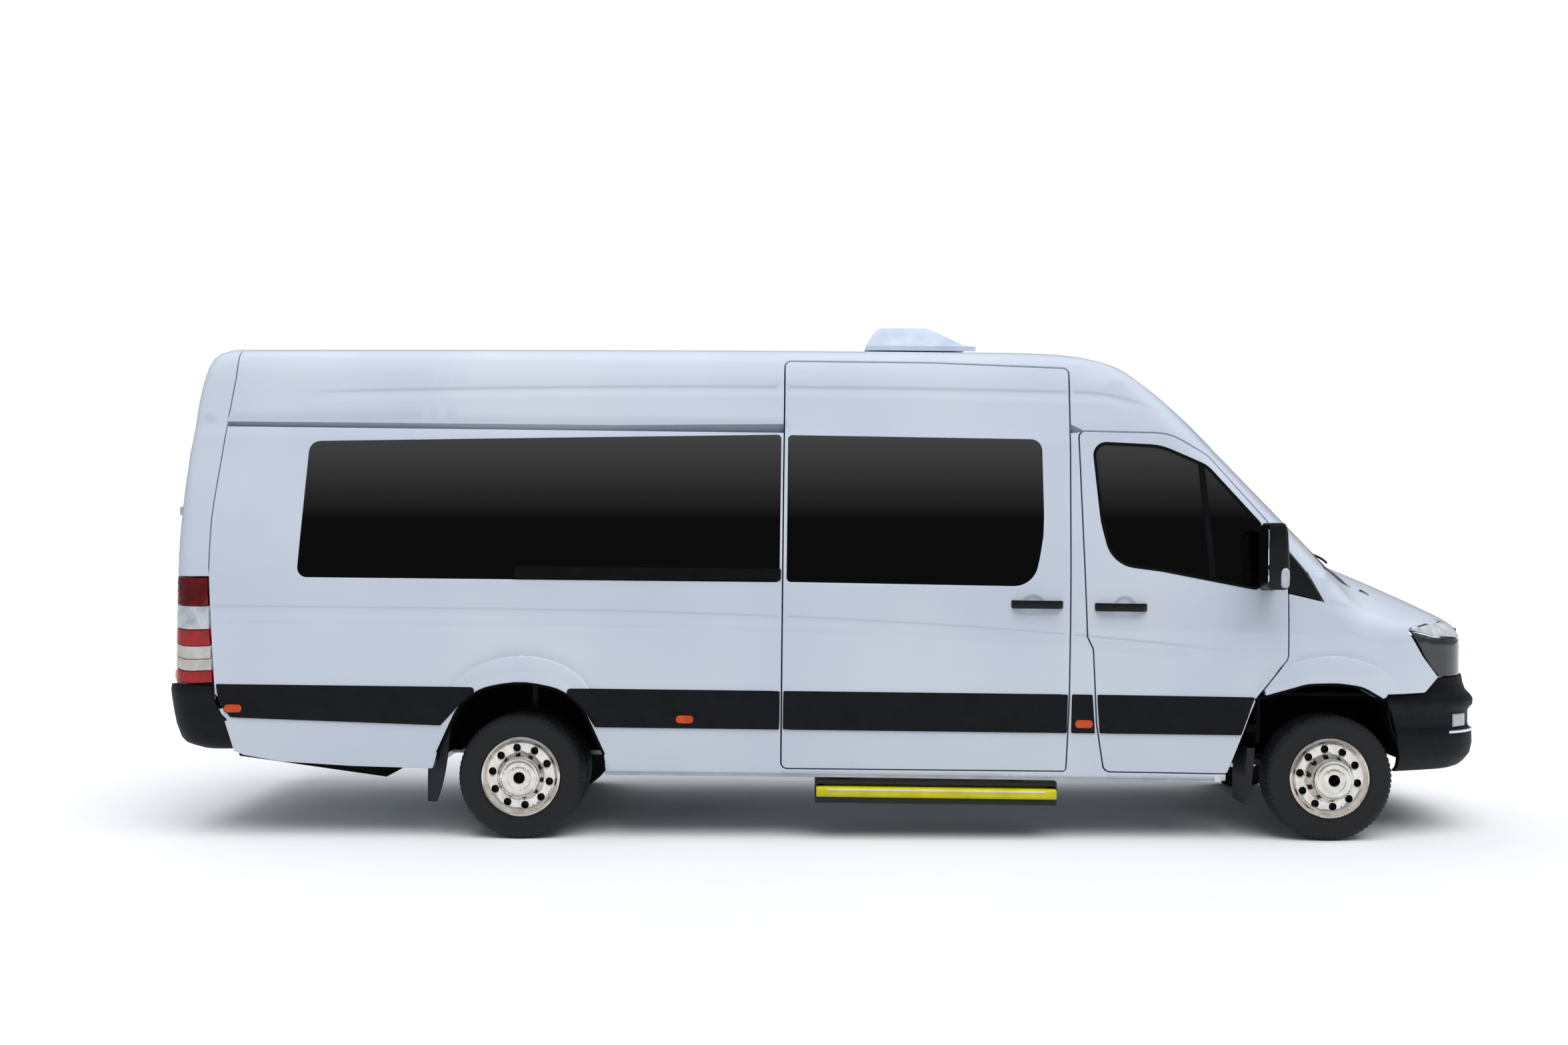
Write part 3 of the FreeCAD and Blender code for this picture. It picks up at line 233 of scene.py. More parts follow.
def straight(way, through):
    # parallel rays along way from a plane through a point inside the body
    way = unit(np.array(way, float))
    up = np.array((0, 0, 1.0) if abs(way[2]) < 0.9 else (0, 1.0, 0))
    across = unit(np.cross(up, way))
    rise = np.cross(way, across)
    through = np.array(through, float)

    def flat(p):
        return np.stack([p @ across, p @ rise], axis=-1)

    def rays(ab):
        start = ab[:, :1] * across + ab[:, 1:] * rise + way * (through @ way)
        return start, np.broadcast_to(way, start.shape)
    return flat, rays


def aroundLine(height, scale=1000):
    # rays square to a level line under the roof: station and angle
    def flat(p):
        return np.stack([p[:, 0], scale * np.arctan2(p[:, 1], p[:, 2] - height)], axis=-1)

    def rays(ab):
        zero = np.zeros(len(ab))
        turn = ab[:, 1] / scale
        return vec(ab[:, 0], zero, zero + height), vec(zero, np.sin(turn), np.cos(turn))
    return flat, rays


def aroundPoint(x, height, sign, scale=1000):
    # rays from a point: the angle off the X axis, laid out in the direction it leans
    middle = np.array((x, 0, height), float)

    def flat(p):
        ray = unit(p - middle)
        turn = np.arccos(np.clip(sign * ray[:, 0], -1, 1))
        lean = unit(ray[:, 1:] + 1e-12)
        return scale * turn[:, None] * lean * (sign, 1)

    def rays(ab):
        turn = np.linalg.norm(ab, axis=1) / scale
        lean = ab / np.maximum(np.linalg.norm(ab, axis=1), 1e-9)[:, None] * (sign, 1)
        side = np.sin(turn)
        way = vec(sign * np.cos(turn), side * lean[:, 0], side * lean[:, 1])
        return np.broadcast_to(middle, way.shape), way
    return flat, rays


rightSide = straight((0, -1, 0), (0, 0, 0))
topDown = straight((0, 0, 1), (0, 0, 900))

# outlines


def rounded(corners, step=45, closed=True):
    # a line through corners (a, b, radius): straight runs divided evenly, arcs every 9 degrees
    points = np.array([c[:2] for c in corners], float)
    radii = [c[2] if len(c) > 2 else 0 for c in corners]
    count, path = len(points), []
    for i in range(count):
        p = points[i]
        if radii[i] > 0 and (closed or 0 < i < count - 1):
            before, after = points[i - 1] - p, points[(i + 1) % count] - p
            lb, la = np.linalg.norm(before), np.linalg.norm(after)
            before, after = before / lb, after / la
            half = math.acos(np.clip(before @ after, -1, 1)) / 2
            t = min(radii[i] / math.tan(half), 0.49 * lb, 0.49 * la)
            r = t * math.tan(half)
            bisector = unit(before + after)
            centre = p + bisector * (r / math.sin(half))
            sweep = math.pi - 2 * half
            n = max(2, int(math.degrees(sweep) / 9) + 1)
            side = np.array((-bisector[1], bisector[0]))
            side = side * (1 if side @ after > 0 else -1)
            turn = np.linspace(-sweep / 2, sweep / 2, n + 1)[:, None]
            path.append(centre - bisector * r * np.cos(turn) + side * r * np.sin(turn))
        else:
            path.append(p[None])
    pieces = []
    for i in range(count if closed else count - 1):
        end, start = path[i][-1], path[(i + 1) % count][0]
        n = max(1, int(np.linalg.norm(start - end) / step))
        pieces.append(path[i])
        pieces.append(end + (start - end) * (np.arange(1, n) / n)[:, None])
    if not closed:
        pieces.append(path[-1])
    line = np.concatenate(pieces)
    keep = np.linalg.norm(np.roll(line, -1, 0) - line, axis=1) > 0.5
    keep[-1] = keep[-1] or not closed
    return line[keep]


def widened(line, by):      # a closed outline moved outward along its own normals
    ahead, behind = np.roll(line, -1, 0), np.roll(line, 1, 0)
    area = np.sum(line[:, 0] * ahead[:, 1] - ahead[:, 0] * line[:, 1])
    one, two = unit(line - behind), unit(ahead - line)
    tangent = unit(one + two)
    normal = np.stack([tangent[:, 1], -tangent[:, 0]], axis=-1) * math.copysign(1, area)
    return line + normal * by / np.maximum(np.sum(one * tangent, axis=1), 0.5)[:, None]


def seenFrom(view, line, form=None, level=0.0):
    # points of a side (x, z), end (y, z) or plan (x, y) line carried onto the form
    form = form or bodyForm
    a, b = line[:, 0], line[:, 1]
    zero = np.zeros(len(line))
    starts = {"side": vec(a, zero, b), "left": vec(a, zero, b), "rear": vec(zero + R(-1200), a, b),
              "front": vec(zero + F(-650), a, b), "top": vec(a, b, zero + 1000)}
    ways = {"side": (0, -1, 0), "left": (0, 1, 0), "rear": (-1, 0, 0), "front": (1, 0, 0), "top": (0, 0, 1)}
    way = np.broadcast_to(np.array(ways[view], float), (len(line), 3))
    return meet(form, starts[view], way, level)


def flipped(line):          # the mirror image of 3-D points on the other side of the vehicle
    return line[::-1] * (1, -1, 1)


def inside(points, loops):
    # even-odd count of the loop edges that a ray along +a crosses
    crossings = np.zeros(len(points), int)
    for loop in loops:
        a0, b0 = loop[:, 0], loop[:, 1]
        a1, b1 = np.roll(a0, -1), np.roll(b0, -1)
        a, b = points[:, :1], points[:, 1:]
        spans = (b0 > b) != (b1 > b)
        at = a0 + (b - b0) * (a1 - a0) / np.where(b1 == b0, 1e-9, b1 - b0)
        crossings += np.sum(spans & (a < at), axis=1)
    return crossings % 2 == 1


def clearOf(points, loops, gap):
    # points farther than gap from every loop edge
    good = np.ones(len(points), bool)
    for loop in loops:
        start, run = loop, np.roll(loop, -1, 0) - loop
        size = np.maximum(np.sum(run * run, axis=1), 1e-9)
        for part in np.array_split(np.arange(len(points)), max(1, len(points) // 3000)):
            off = points[part][:, None] - start
            t = np.clip(np.sum(off * run, axis=2) / size, 0, 1)
            near = np.linalg.norm(off - t[..., None] * run, axis=2).min(axis=1)
            good[part] &= near > gap
    return good


# meshes
scene = bpy.context.scene
rakeTurn = math.radians(vehicle["rake"])


def setDown(p):
    c, s = math.cos(rakeTurn), math.sin(rakeTurn)
    return vec(p[..., 0] * c + p[..., 2] * s, p[..., 1], p[..., 2] * c - p[..., 0] * s)


def makeMesh(name, points, faces, materials, body="body", level=False, slots=None, normals=None, turn=None):
    # faces are lists of point numbers; normals, if given, one for each face corner in turn
    points = points if level else setDown(points)
    mesh = bpy.data.meshes.new(name)
    mesh.from_pydata((points / 1000).tolist(), [], faces)
    mesh.validate()
    mesh.polygons.foreach_set("use_smooth", np.full(len(mesh.polygons), True))
    materials = materials if isinstance(materials, (list, tuple)) else [materials]
    for material in materials:
        mesh.materials.append(material)
    if slots is not None:
        mesh.polygons.foreach_set("material_index", np.asarray(slots, np.int32))
    if normals is not None and len(normals) == len(mesh.loops):
        normals = normals if level else setDown(normals)
        mesh.normals_split_custom_set(unit(normals).tolist())
    elif turn is not None:
        mesh.set_sharp_from_angle(angle=math.radians(turn))
    mesh.update()
    piece = bpy.data.objects.new(name, mesh)
    scene.collection.objects.link(piece)
    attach(piece, body)
    return piece


def gridFaces(rows, columns, closedRows=False, closedColumns=False, start=0, flip=False):
    # quads over a grid of points numbered row by row
    i = np.arange(rows if closedRows else rows - 1)[:, None]
    j = np.arange(columns if closedColumns else columns - 1)[None]
    a, b = i * columns + j, i * columns + (j + 1) % columns
    c, d = ((i + 1) % rows) * columns + (j + 1) % columns, ((i + 1) % rows) * columns + j
    quads = np.stack([a, b, c, d], axis=-1).reshape(-1, 4) + start
    return (quads[:, ::-1] if flip else quads).tolist()


def skinOf(loops, laying, thick, step=42, lines=(), roll=4.0, level=0.0, form=None, back=None):
    # a panel as a closed solid, laid out flat: points inside the outline and outside its holes are
    # joined by Delaunay triangles, carried out to the form along the rays, and repeated at a depth;
    # its edges roll over a quarter circle and go straight in
    form = form or bodyForm
    flat, rays = laying
    surface, rims = [], []
    flatRims = [flat(loop) for loop in loops]
    for k, (loop, plane) in enumerate(zip(loops, flatRims)):
        ahead = np.roll(plane, -1, 0)
        area = np.sum(plane[:, 0] * ahead[:, 1] - ahead[:, 0] * plane[:, 1])
        if (area > 0) != (k == 0):
            loop = loop[::-1]
        normal = outward(form, loop)
        tangent = unit(unit(np.roll(loop, -1, 0) - loop) + unit(loop - np.roll(loop, 1, 0)))
        out = unit(np.cross(tangent, normal))
        rims.append((loop, normal, out))
        surface.append(loop - out * roll)
    edgeFlat = [flat(line) for line in surface]
    low = np.min([line.min(0) for line in edgeFlat], axis=0)
    high = np.max([line.max(0) for line in edgeFlat], axis=0)
    a, b = np.meshgrid(np.arange(low[0] + step / 2, high[0], step),
                       np.arange(low[1] + step / 2, high[1], step))
    a[1::2] += step / 2
    fill = np.stack([a.ravel(), b.ravel()], axis=-1)
    if len(lines):
        extra = np.concatenate([flat(line) for line in lines])
        keep = np.ones(len(fill), bool)
        for part in np.array_split(np.arange(len(fill)), max(1, len(fill) // 2000)):
            gaps = np.linalg.norm(fill[part][:, None] - extra, axis=2).min(axis=1)
            keep[part] = gaps > step * 0.5
        fill = np.concatenate([fill[keep], extra[clearOf(extra, edgeFlat, 2.5)]])
    fill = fill[inside(fill, edgeFlat)]
    fill = fill[clearOf(fill, edgeFlat, min(step * 0.35, 9))]
    counts = [len(line) for line in edgeFlat]
    starts = np.cumsum([0] + counts)
    edges = [(np.stack([np.arange(n), (np.arange(n) + 1) % n], axis=-1) + s).tolist()
             for n, s in zip(counts, starts)]
    flatPoints = np.concatenate(edgeFlat + [fill])
    result = geometry.delaunay_2d_cdt(flatPoints.tolist(), sum(edges, []), [], 0, 1e-4)
    source = np.array([o[0] if len(o) else -1 for o in result[3]])
    triangles = source[np.array(result[2])]
    triangles = triangles[(triangles >= 0).all(axis=1)]
    centres = flatPoints[triangles].mean(axis=1)
    triangles = triangles[inside(centres, edgeFlat)]
    one, two, three = (flatPoints[triangles[:, k]] for k in range(3))
    p, q = two - one, three - one
    area = p[:, 0] * q[:, 1] - p[:, 1] * q[:, 0]
    triangles = np.where((area < 0)[:, None], triangles[:, ::-1], triangles)
    triangles = triangles[np.abs(area) > 0.02]

    start, way = rays(flatPoints)
    top = meet(form, start, way, level)
    topNormal = outward(form, top)
    rimCount = starts[-1]
    top[:rimCount] = np.concatenate(surface) + topNormal[:rimCount] * level
    count = len(top)
    points = [top]
    rowFaces, rowNormals = [], []
    total = count
    angles = np.radians((30, 60, 90))
    ends = []
    for k, (loop, normal, out) in enumerate(rims):
        n = len(loop)
        ring = np.arange(n)
        previous = starts[k] + ring
        before = normal
        for turn in angles:
            drop = level - roll * (1 - math.cos(turn))
            points.append(loop - out * roll * (1 - math.sin(turn)) + normal * drop)
            bent = normal * math.cos(turn) + out * math.sin(turn)
            current = total + ring
            quads = np.stack([previous, current, np.roll(current, -1), np.roll(previous, -1)], axis=-1)
            rowFaces.append(quads)
            rowNormals.append(np.stack([before, bent, np.roll(bent, -1, 0), np.roll(before, -1, 0)], axis=1))
            previous, before, total = current, bent, total + n
        ends.append((previous, out))
    # the back layer, under the same triangles
    backForm = back or innerForm
    backStart, backWay = rays(np.concatenate([flat(loop) for loop, _, _ in rims] + [fill]))
    under = meet(backForm, backStart, backWay, level - thick)
    underNormal = -outward(backForm, under)
    points.append(under)
    for k, (previous, out) in enumerate(ends):
        n = counts[k]
        current = total + starts[k] + np.arange(n)
        quads = np.stack([previous, current, np.roll(current, -1), np.roll(previous, -1)], axis=-1)
        rowFaces.append(quads)
        rowNormals.append(np.stack([out, out, np.roll(out, -1, 0), np.roll(out, -1, 0)], axis=1))
    quads = np.concatenate(rowFaces)
    quadNormals = np.concatenate(rowNormals)
    faces = triangles.tolist() + quads.tolist() + (triangles[:, ::-1] + total).tolist()
    corner = np.concatenate([topNormal[triangles].reshape(-1, 3), quadNormals.reshape(-1, 3),
                             underNormal[triangles[:, ::-1]].reshape(-1, 3)])
    groups = np.repeat([0, 1, 2], [len(triangles), len(quads), len(triangles)])
    return {"points": np.concatenate(points), "faces": faces, "normals": corner, "groups": groups}


def mirrorOf(skin):
    faces = [face[::-1] for face in skin["faces"]]
    sizes = np.array([len(face) for face in faces])
    first = np.cumsum(sizes) - sizes
    order = np.repeat(first + sizes - 1, sizes) - (np.arange(sizes.sum()) - np.repeat(first, sizes))
    return {"points": skin["points"] * (1, -1, 1), "faces": faces,
            "normals": skin["normals"][order] * (1, -1, 1), "groups": skin["groups"]}


def together(skins):
    points, faces, normals, groups, shift = [], [], [], [], 0
    for skin in skins:
        points.append(skin["points"])
        faces += [[i + shift for i in face] for face in skin["faces"]]
        normals.append(skin["normals"])
        groups.append(skin["groups"])
        shift += len(skin["points"])
    return {"points": np.concatenate(points), "faces": faces, "normals": np.concatenate(normals),
            "groups": np.concatenate(groups)}


def dress(name, skin, materials, body="body", slots=None, nodes=()):
    piece = makeMesh(name, skin["points"], skin["faces"], materials, body,
                     normals=skin["normals"], slots=slots)
    if nodes:
        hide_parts(*nodes)
    return piece

# materials


def linear(hexValue):       # an sRGB hex colour as the linear numbers that shaders take
    value = np.array([int(hexValue[i:i + 2], 16) for i in (1, 3, 5)]) / 255
    value = np.where(value <= 0.04045, value / 12.92, ((value + 0.055) / 1.055) ** 2.4)
    return (*value.tolist(), 1.0)


def addNode(tree, kind, settings=None, links=None):
    node = tree.nodes.new(kind)
    for key, value in (settings or {}).items():
        if isinstance(key, int) or key in node.inputs:
            node.inputs[key].default_value = value
        else:
            setattr(node, key, value)
    for key, source in (links or {}).items():
        tree.links.new(source, node.inputs[key])
    return node


def newMaterial(name, colour, roughness, **more):
    # a Principled shader; more holds its sockets by name, underscores for spaces
    material = bpy.data.materials.new(name)
    material.use_nodes = True
    tree = material.node_tree
    shader = tree.nodes["Principled BSDF"]
    shader.inputs["Base Color"].default_value = linear(colour)
    shader.inputs["Roughness"].default_value = roughness
    for key, value in more.items():
        shader.inputs[key.replace("_", " ")].default_value = value
    coords = addNode(tree, "ShaderNodeTexCoord")
    return material, tree, shader, coords.outputs["Object"]


def mottle(tree, coords, size, detail=3.0, stretch=(1, 1, 1)):
    # noise whose patches are about size millimetres, longer where stretch is small
    place = addNode(tree, "ShaderNodeMapping", {"Scale": stretch}, {"Vector": coords})
    return addNode(tree, "ShaderNodeTexNoise", {"Scale": 1000 / size, "Detail": detail},
                   {"Vector": place.outputs[0]}).outputs["Fac"]


def between(tree, factor, dark, light, low=0.3, high=0.7):
    ramp = addNode(tree, "ShaderNodeValToRGB", {}, {"Fac": factor})
    ramp.color_ramp.elements[0].position = low
    ramp.color_ramp.elements[0].color = linear(dark)
    ramp.color_ramp.elements[1].position = high
    ramp.color_ramp.elements[1].color = linear(light)
    return ramp.outputs["Color"]


def roughBy(tree, shader, factor, low, high):
    spread = addNode(tree, "ShaderNodeMapRange", {"To Min": low, "To Max": high}, {"Value": factor})
    tree.links.new(spread.outputs[0], shader.inputs["Roughness"])


def bumpBy(tree, shader, height, depth, strength=0.5):
    # depth in millimetres
    bump = addNode(tree, "ShaderNodeBump", {"Strength": strength, "Distance": depth / 1000},
                   {"Height": height})
    tree.links.new(bump.outputs[0], shader.inputs["Normal"])


def splitHeight(tree, coords):
    return addNode(tree, "ShaderNodeSeparateXYZ", {}, {"Vector": coords}).outputs


def glossPaint():           # two-pack enamel under clear lacquer: cool white with a faint orange peel
    material, tree, shader, coords = newMaterial(
        "whiteEnamelLacquered", "#dfe6f1", 0.32, Coat_Weight=1.0, Coat_Roughness=0.04, Coat_IOR=1.5, IOR=1.5)
    cloud = mottle(tree, coords, 900, 2.0)
    tree.links.new(between(tree, cloud, "#d9e1ee", "#e6ecf5"), shader.inputs["Base Color"])
    bumpBy(tree, shader, mottle(tree, coords, 14, 2.0), 0.05, 0.12)
    return material


def moulded(name, dark, light, low, high, grain=2.2, depth=0.12, shine=0.5):
    # injection-moulded plastic: etched grain and slightly uneven gloss
    material, tree, shader, coords = newMaterial(name, light, high, IOR=1.46, Specular_IOR_Level=shine)
    tree.links.new(between(tree, mottle(tree, coords, 120), dark, light), shader.inputs["Base Color"])
    roughBy(tree, shader, mottle(tree, coords, 35), low, high)
    bumpBy(tree, shader, mottle(tree, coords, grain, 2.0), depth, 0.35)
    return material


def privacyGlass():         # toughened glass over a black film: nearly black, mirror smooth, with a painted reflection that lightens it towards the top
    material, tree, shader, coords = newMaterial(
        "privacyGlassToughened", "#040506", 0.05, IOR=1.52, Specular_IOR_Level=0.1)
    # painted reflection: the base colour runs from near black at 1.72 m up to grey at 2.2 m, standing in for
    # the bright surroundings reflected in the upper glass
    height = splitHeight(tree, coords)[2]
    band = addNode(tree, "ShaderNodeMapRange", {"From Min": 1.72, "From Max": 2.2}, {"Value": height})
    colour = between(tree, band.outputs[0], "#030303", "#4c4b4a", 0.0, 1.0)
    tree.links.new(colour, shader.inputs["Base Color"])
    roughBy(tree, shader, mottle(tree, coords, 300), 0.05, 0.09)
    return material


def clearGlass():           # laminated windscreen: slightly green, lets the cab show
    material, tree, shader, coords = newMaterial(
        "laminatedGlass", "#8fa39c", 0.02, IOR=1.52, Transmission_Weight=0.9)
    roughBy(tree, shader, mottle(tree, coords, 400), 0.01, 0.035)
    return material


def tyreRubber():           # vulcanised carbon-black rubber: dull, a little dusty on the tread
    material, tree, shader, coords = newMaterial("vulcanisedTyreRubber", "#141416", 0.75, IOR=1.52)
    dust = mottle(tree, coords, 60, 5.0)
    tree.links.new(between(tree, dust, "#0d0e10", "#1d1d1f", 0.35, 0.75), shader.inputs["Base Color"])
    roughBy(tree, shader, dust, 0.62, 0.86)
    bumpBy(tree, shader, mottle(tree, coords, 1.6, 3.0), 0.2, 0.4)
    return material


def polishedSteel():        # pressed stainless, buffed round its axis: warm mirror with a fine grain
    material, tree, shader, coords = newMaterial("stainlessPressedPolished", "#dcd6cd", 0.16, Metallic=1.0)
    blur = mottle(tree, coords, 45, 4.0)
    tree.links.new(between(tree, blur, "#cdc6bc", "#eae6e0"), shader.inputs["Base Color"])
    roughBy(tree, shader, blur, 0.1, 0.24)
    bumpBy(tree, shader, mottle(tree, coords, 9, 2.0), 0.03, 0.2)
    return material


def lampPlastic(name, dark, light, rib=0.0, through=0.0):
    # moulded acrylic: bright, clear gloss, with upright ribs that spread the light
    material, tree, shader, coords = newMaterial(
        name, light, 0.08, IOR=1.49, Specular_IOR_Level=0.3, Coat_Weight=0.2, Coat_Roughness=0.03,
        Transmission_Weight=through)
    axes = splitHeight(tree, coords)
    shade = mottle(tree, coords, 50)
    tree.links.new(between(tree, shade, dark, light), shader.inputs["Base Color"])
    if rib:
        lay = addNode(tree, "ShaderNodeMath", {"operation": "ADD"}, {0: axes[0], 1: axes[1]})
        wave = addNode(tree, "ShaderNodeMath", {"operation": "MULTIPLY", 1: 2 * math.pi * 1000 / rib},
                       {0: lay.outputs[0]})
        wave = addNode(tree, "ShaderNodeMath", {"operation": "SINE"}, {0: wave.outputs[0]})
        bumpBy(tree, shader, wave.outputs[0], 0.8, 0.5)
    return material


def castMetal(name, dark, light, metallic, low, high, size=25):
    # rolled, cast or coated metal: uneven tone and a slight texture
    material, tree, shader, coords = newMaterial(name, light, high, Metallic=metallic)
    tone = mottle(tree, coords, size * 4, 4.0)
    tree.links.new(between(tree, tone, dark, light), shader.inputs["Base Color"])
    roughBy(tree, shader, mottle(tree, coords, size), low, high)
    bumpBy(tree, shader, mottle(tree, coords, 3, 3.0), 0.15, 0.3)
    return material


def wovenCloth(name, dark, light, pitch=3.0):
    # flat-woven wool mix; threads about 0.8 mm, drawn at pitch so that they show
    material, tree, shader, coords = newMaterial(name, light, 0.9, Sheen_Weight=0.25, Sheen_Roughness=0.5)
    warp = addNode(tree, "ShaderNodeTexWave", {"Scale": 1000 / pitch / 2, "Distortion": 0.4},
                   {"Vector": coords}).outputs["Fac"]
    weft = addNode(tree, "ShaderNodeTexWave", {"bands_direction": "Z", "Scale": 1000 / pitch / 2},
                   {"Vector": coords}).outputs["Fac"]
    cloth = addNode(tree, "ShaderNodeMath", {"operation": "MULTIPLY"}, {0: warp, 1: weft}).outputs[0]
    tree.links.new(between(tree, cloth, dark, light, 0.1, 0.8), shader.inputs["Base Color"])
    bumpBy(tree, shader, cloth, 0.5, 0.5)
    return material


enamel = glossPaint()
charcoalPlastic = moulded("charcoalPolypropylene", "#08090c", "#101218", 0.5, 0.66, shine=0.22)
smoothBlack = moulded("blackAbsSatin", "#07080a", "#0f1013", 0.28, 0.4, 3.0, 0.05, shine=0.3)
linerPlastic = moulded("archLinerPolyethylene", "#050506", "#0a0b0c", 0.75, 0.9, shine=0.12)
interiorPlastic = moulded("greyDashPolyurethane", "#33353a", "#44474d", 0.55, 0.7)
liningPlastic = moulded("paleLiningVinyl", "#9b9ea3", "#b2b5b9", 0.6, 0.75)
sealRubber = moulded("epdmSealRubber", "#060607", "#0d0d0e", 0.5, 0.66, 1.5, 0.08, shine=0.15)
flapRubber = moulded("mudflapRubber", "#121419", "#1d2026", 0.55, 0.7, 4.0, 0.3)
darkGlass = privacyGlass()
screenGlass = clearGlass()
rubber = tyreRubber()
polished = polishedSteel()
redLens = lampPlastic("redAcrylicLens", "#8a0205", "#b90408", 9.0)
deepRedLens = lampPlastic("darkRedAcrylicLens", "#4c0104", "#7a0407", 7.0)
clearLens = lampPlastic("clearAcrylicRibbed", "#b9bec4", "#e3e6e8", 11.0)
whiteLens = lampPlastic("whiteAcrylicLens", "#c9c3bb", "#e6e1d8", 0.0)
amberLens = lampPlastic("amberAcrylicLens", "#c93a04", "#f0560a", 8.0)
smokeLens = lampPlastic("smokedPolycarbonate", "#4b5054", "#666c70", 0.0, 0.88)
lampBezel = moulded("lampBezelSatin", "#0f1113", "#1d2022", 0.25, 0.4, 3.0, 0.03)
chrome = castMetal("chromePlatedAbs", "#c4c8cc", "#e6e8ea", 1.0, 0.05, 0.12)
mirrorGlass = castMetal("silveredMirror", "#c9ced2", "#dde1e4", 1.0, 0.01, 0.03)
yellowCoat = castMetal("yellowPowderCoat", "#d8cf04", "#ece414", 0.0, 0.35, 0.5)
whiteTape = castMetal("whiteReflectiveTape", "#e4e3df", "#f4f3ef", 0.0, 0.4, 0.5)
blackCoat = castMetal("blackPowderCoat", "#0c0d0f", "#17181b", 0.0, 0.45, 0.6)
chassisPaint = castMetal("chassisBlackPaint", "#111214", "#1f2022", 0.2, 0.5, 0.7)
bareSteel = castMetal("zincPlatedSteel", "#8a8c8e", "#a9abad", 1.0, 0.3, 0.45)
galvanised = castMetal("aluminisedSteelPipe", "#77787a", "#98999b", 1.0, 0.35, 0.5)
sillAluminium = castMetal("satinAluminiumTrim", "#aeb2b8", "#c6cad0", 0.6, 0.3, 0.42)
acShell = moulded("whiteGelcoatGrp", "#c9d6ea", "#dfe8f5", 0.3, 0.42, 6.0, 0.08)
seatCloth = wovenCloth("wovenWoolSeatCloth", "#23262d", "#3a4150")
print("materials ready")

# camera, lamps and floor
studio = {
    "eye": (-0.150, -9.4965, 1.700), "yaw": 0.8, "lens": 36.62,
    "sky": 0.55, "key": 2.0, "fill": 0.5,      # strengths of the sky and of the two sun lamps
}


def setStage():
    camera = bpy.data.objects.new("camera", bpy.data.cameras.new("camera"))
    camera.location = studio["eye"]
    camera.rotation_euler = (math.pi / 2, 0, math.radians(studio["yaw"]))
    camera.data.lens = studio["lens"]
    camera.data.sensor_width = 36
    camera.data.clip_end = 200
    scene.collection.objects.link(camera)
    scene.camera = camera

    # a wide level floor; the camera and mirrors see it white, and it keeps the shadow
    size = 60.0
    mesh = bpy.data.meshes.new("floor")
    corners = [(-size, -size, 0), (size, -size, 0), (size, size, 0), (-size, size, 0)]
    mesh.from_pydata(corners, [], [(0, 1, 2, 3)])
    floor = bpy.data.objects.new("floor", mesh)
    scene.collection.objects.link(floor)
    material, tree, shader, coords = newMaterial("paintedStudioFloor", "#f4f4f4", 0.9,
                                                 Specular_IOR_Level=0.0)
    path = addNode(tree, "ShaderNodeLightPath").outputs
    seen = addNode(tree, "ShaderNodeMath", {"operation": "MAXIMUM"},
                   {0: path["Is Camera Ray"], 1: path["Is Glossy Ray"]}).outputs[0]
    seen = addNode(tree, "ShaderNodeMath", {"operation": "MAXIMUM"},
                   {0: seen, 1: path["Is Transmission Ray"]}).outputs[0]
    paint = between(tree, mottle(tree, coords, 2500), "#fafafa", "#fefefe")
    bounce = addNode(tree, "ShaderNodeMixRGB", {"Color1": linear("#b4b6ba")}, {"Fac": seen, "Color2": paint})
    tree.links.new(bounce.outputs[0], shader.inputs["Base Color"])
    mesh.materials.append(material)

    world = bpy.data.worlds.new("softbox")
    world.use_nodes = True
    scene.world = world
    tree = world.node_tree
    tree.nodes.clear()
    path = addNode(tree, "ShaderNodeLightPath").outputs
    coords = addNode(tree, "ShaderNodeTexCoord").outputs["Generated"]
    height = addNode(tree, "ShaderNodeSeparateXYZ", {}, {"Vector": coords}).outputs[2]
    shade = between(tree, addNode(tree, "ShaderNodeMapRange", {"From Min": -0.2, "From Max": 0.9},
                                  {"Value": height}).outputs[0], "#c6c7ca", "#eaf2ff", 0.0, 1.0)
    lit = addNode(tree, "ShaderNodeBackground", {"Strength": studio["sky"]}, {"Color": shade})
    seen = addNode(tree, "ShaderNodeBackground", {"Color": (1, 1, 1, 1), "Strength": 1.0})
    plain = addNode(tree, "ShaderNodeMath", {"operation": "MAXIMUM"},
                    {0: path["Is Camera Ray"], 1: path["Is Transmission Ray"]}).outputs[0]
    mixed = addNode(tree, "ShaderNodeMixShader", {}, {0: plain, 1: lit.outputs[0], 2: seen.outputs[0]})
    addNode(tree, "ShaderNodeOutputWorld", {}, {0: mixed.outputs[0]})

    for name, place, power, spread in (
            ("keySun", (1.5, -4.0, 9.0), studio["key"], 55),
            ("fillSun", (-4.0, 6.0, 7.0), studio["fill"], 60)):
        data = bpy.data.lights.new(name, "SUN")
        data.energy, data.angle = power, math.radians(spread)
        lamp = bpy.data.objects.new(name, data)
        lamp.location = place
        lamp.visible_glossy = False
        lamp.rotation_euler = (math.atan2(math.hypot(place[0], place[1]), place[2]), 0,
                               math.atan2(place[0], -place[1]))
        scene.collection.objects.link(lamp)


setStage()
scene.view_settings.view_transform = "Standard"
print("stage set")

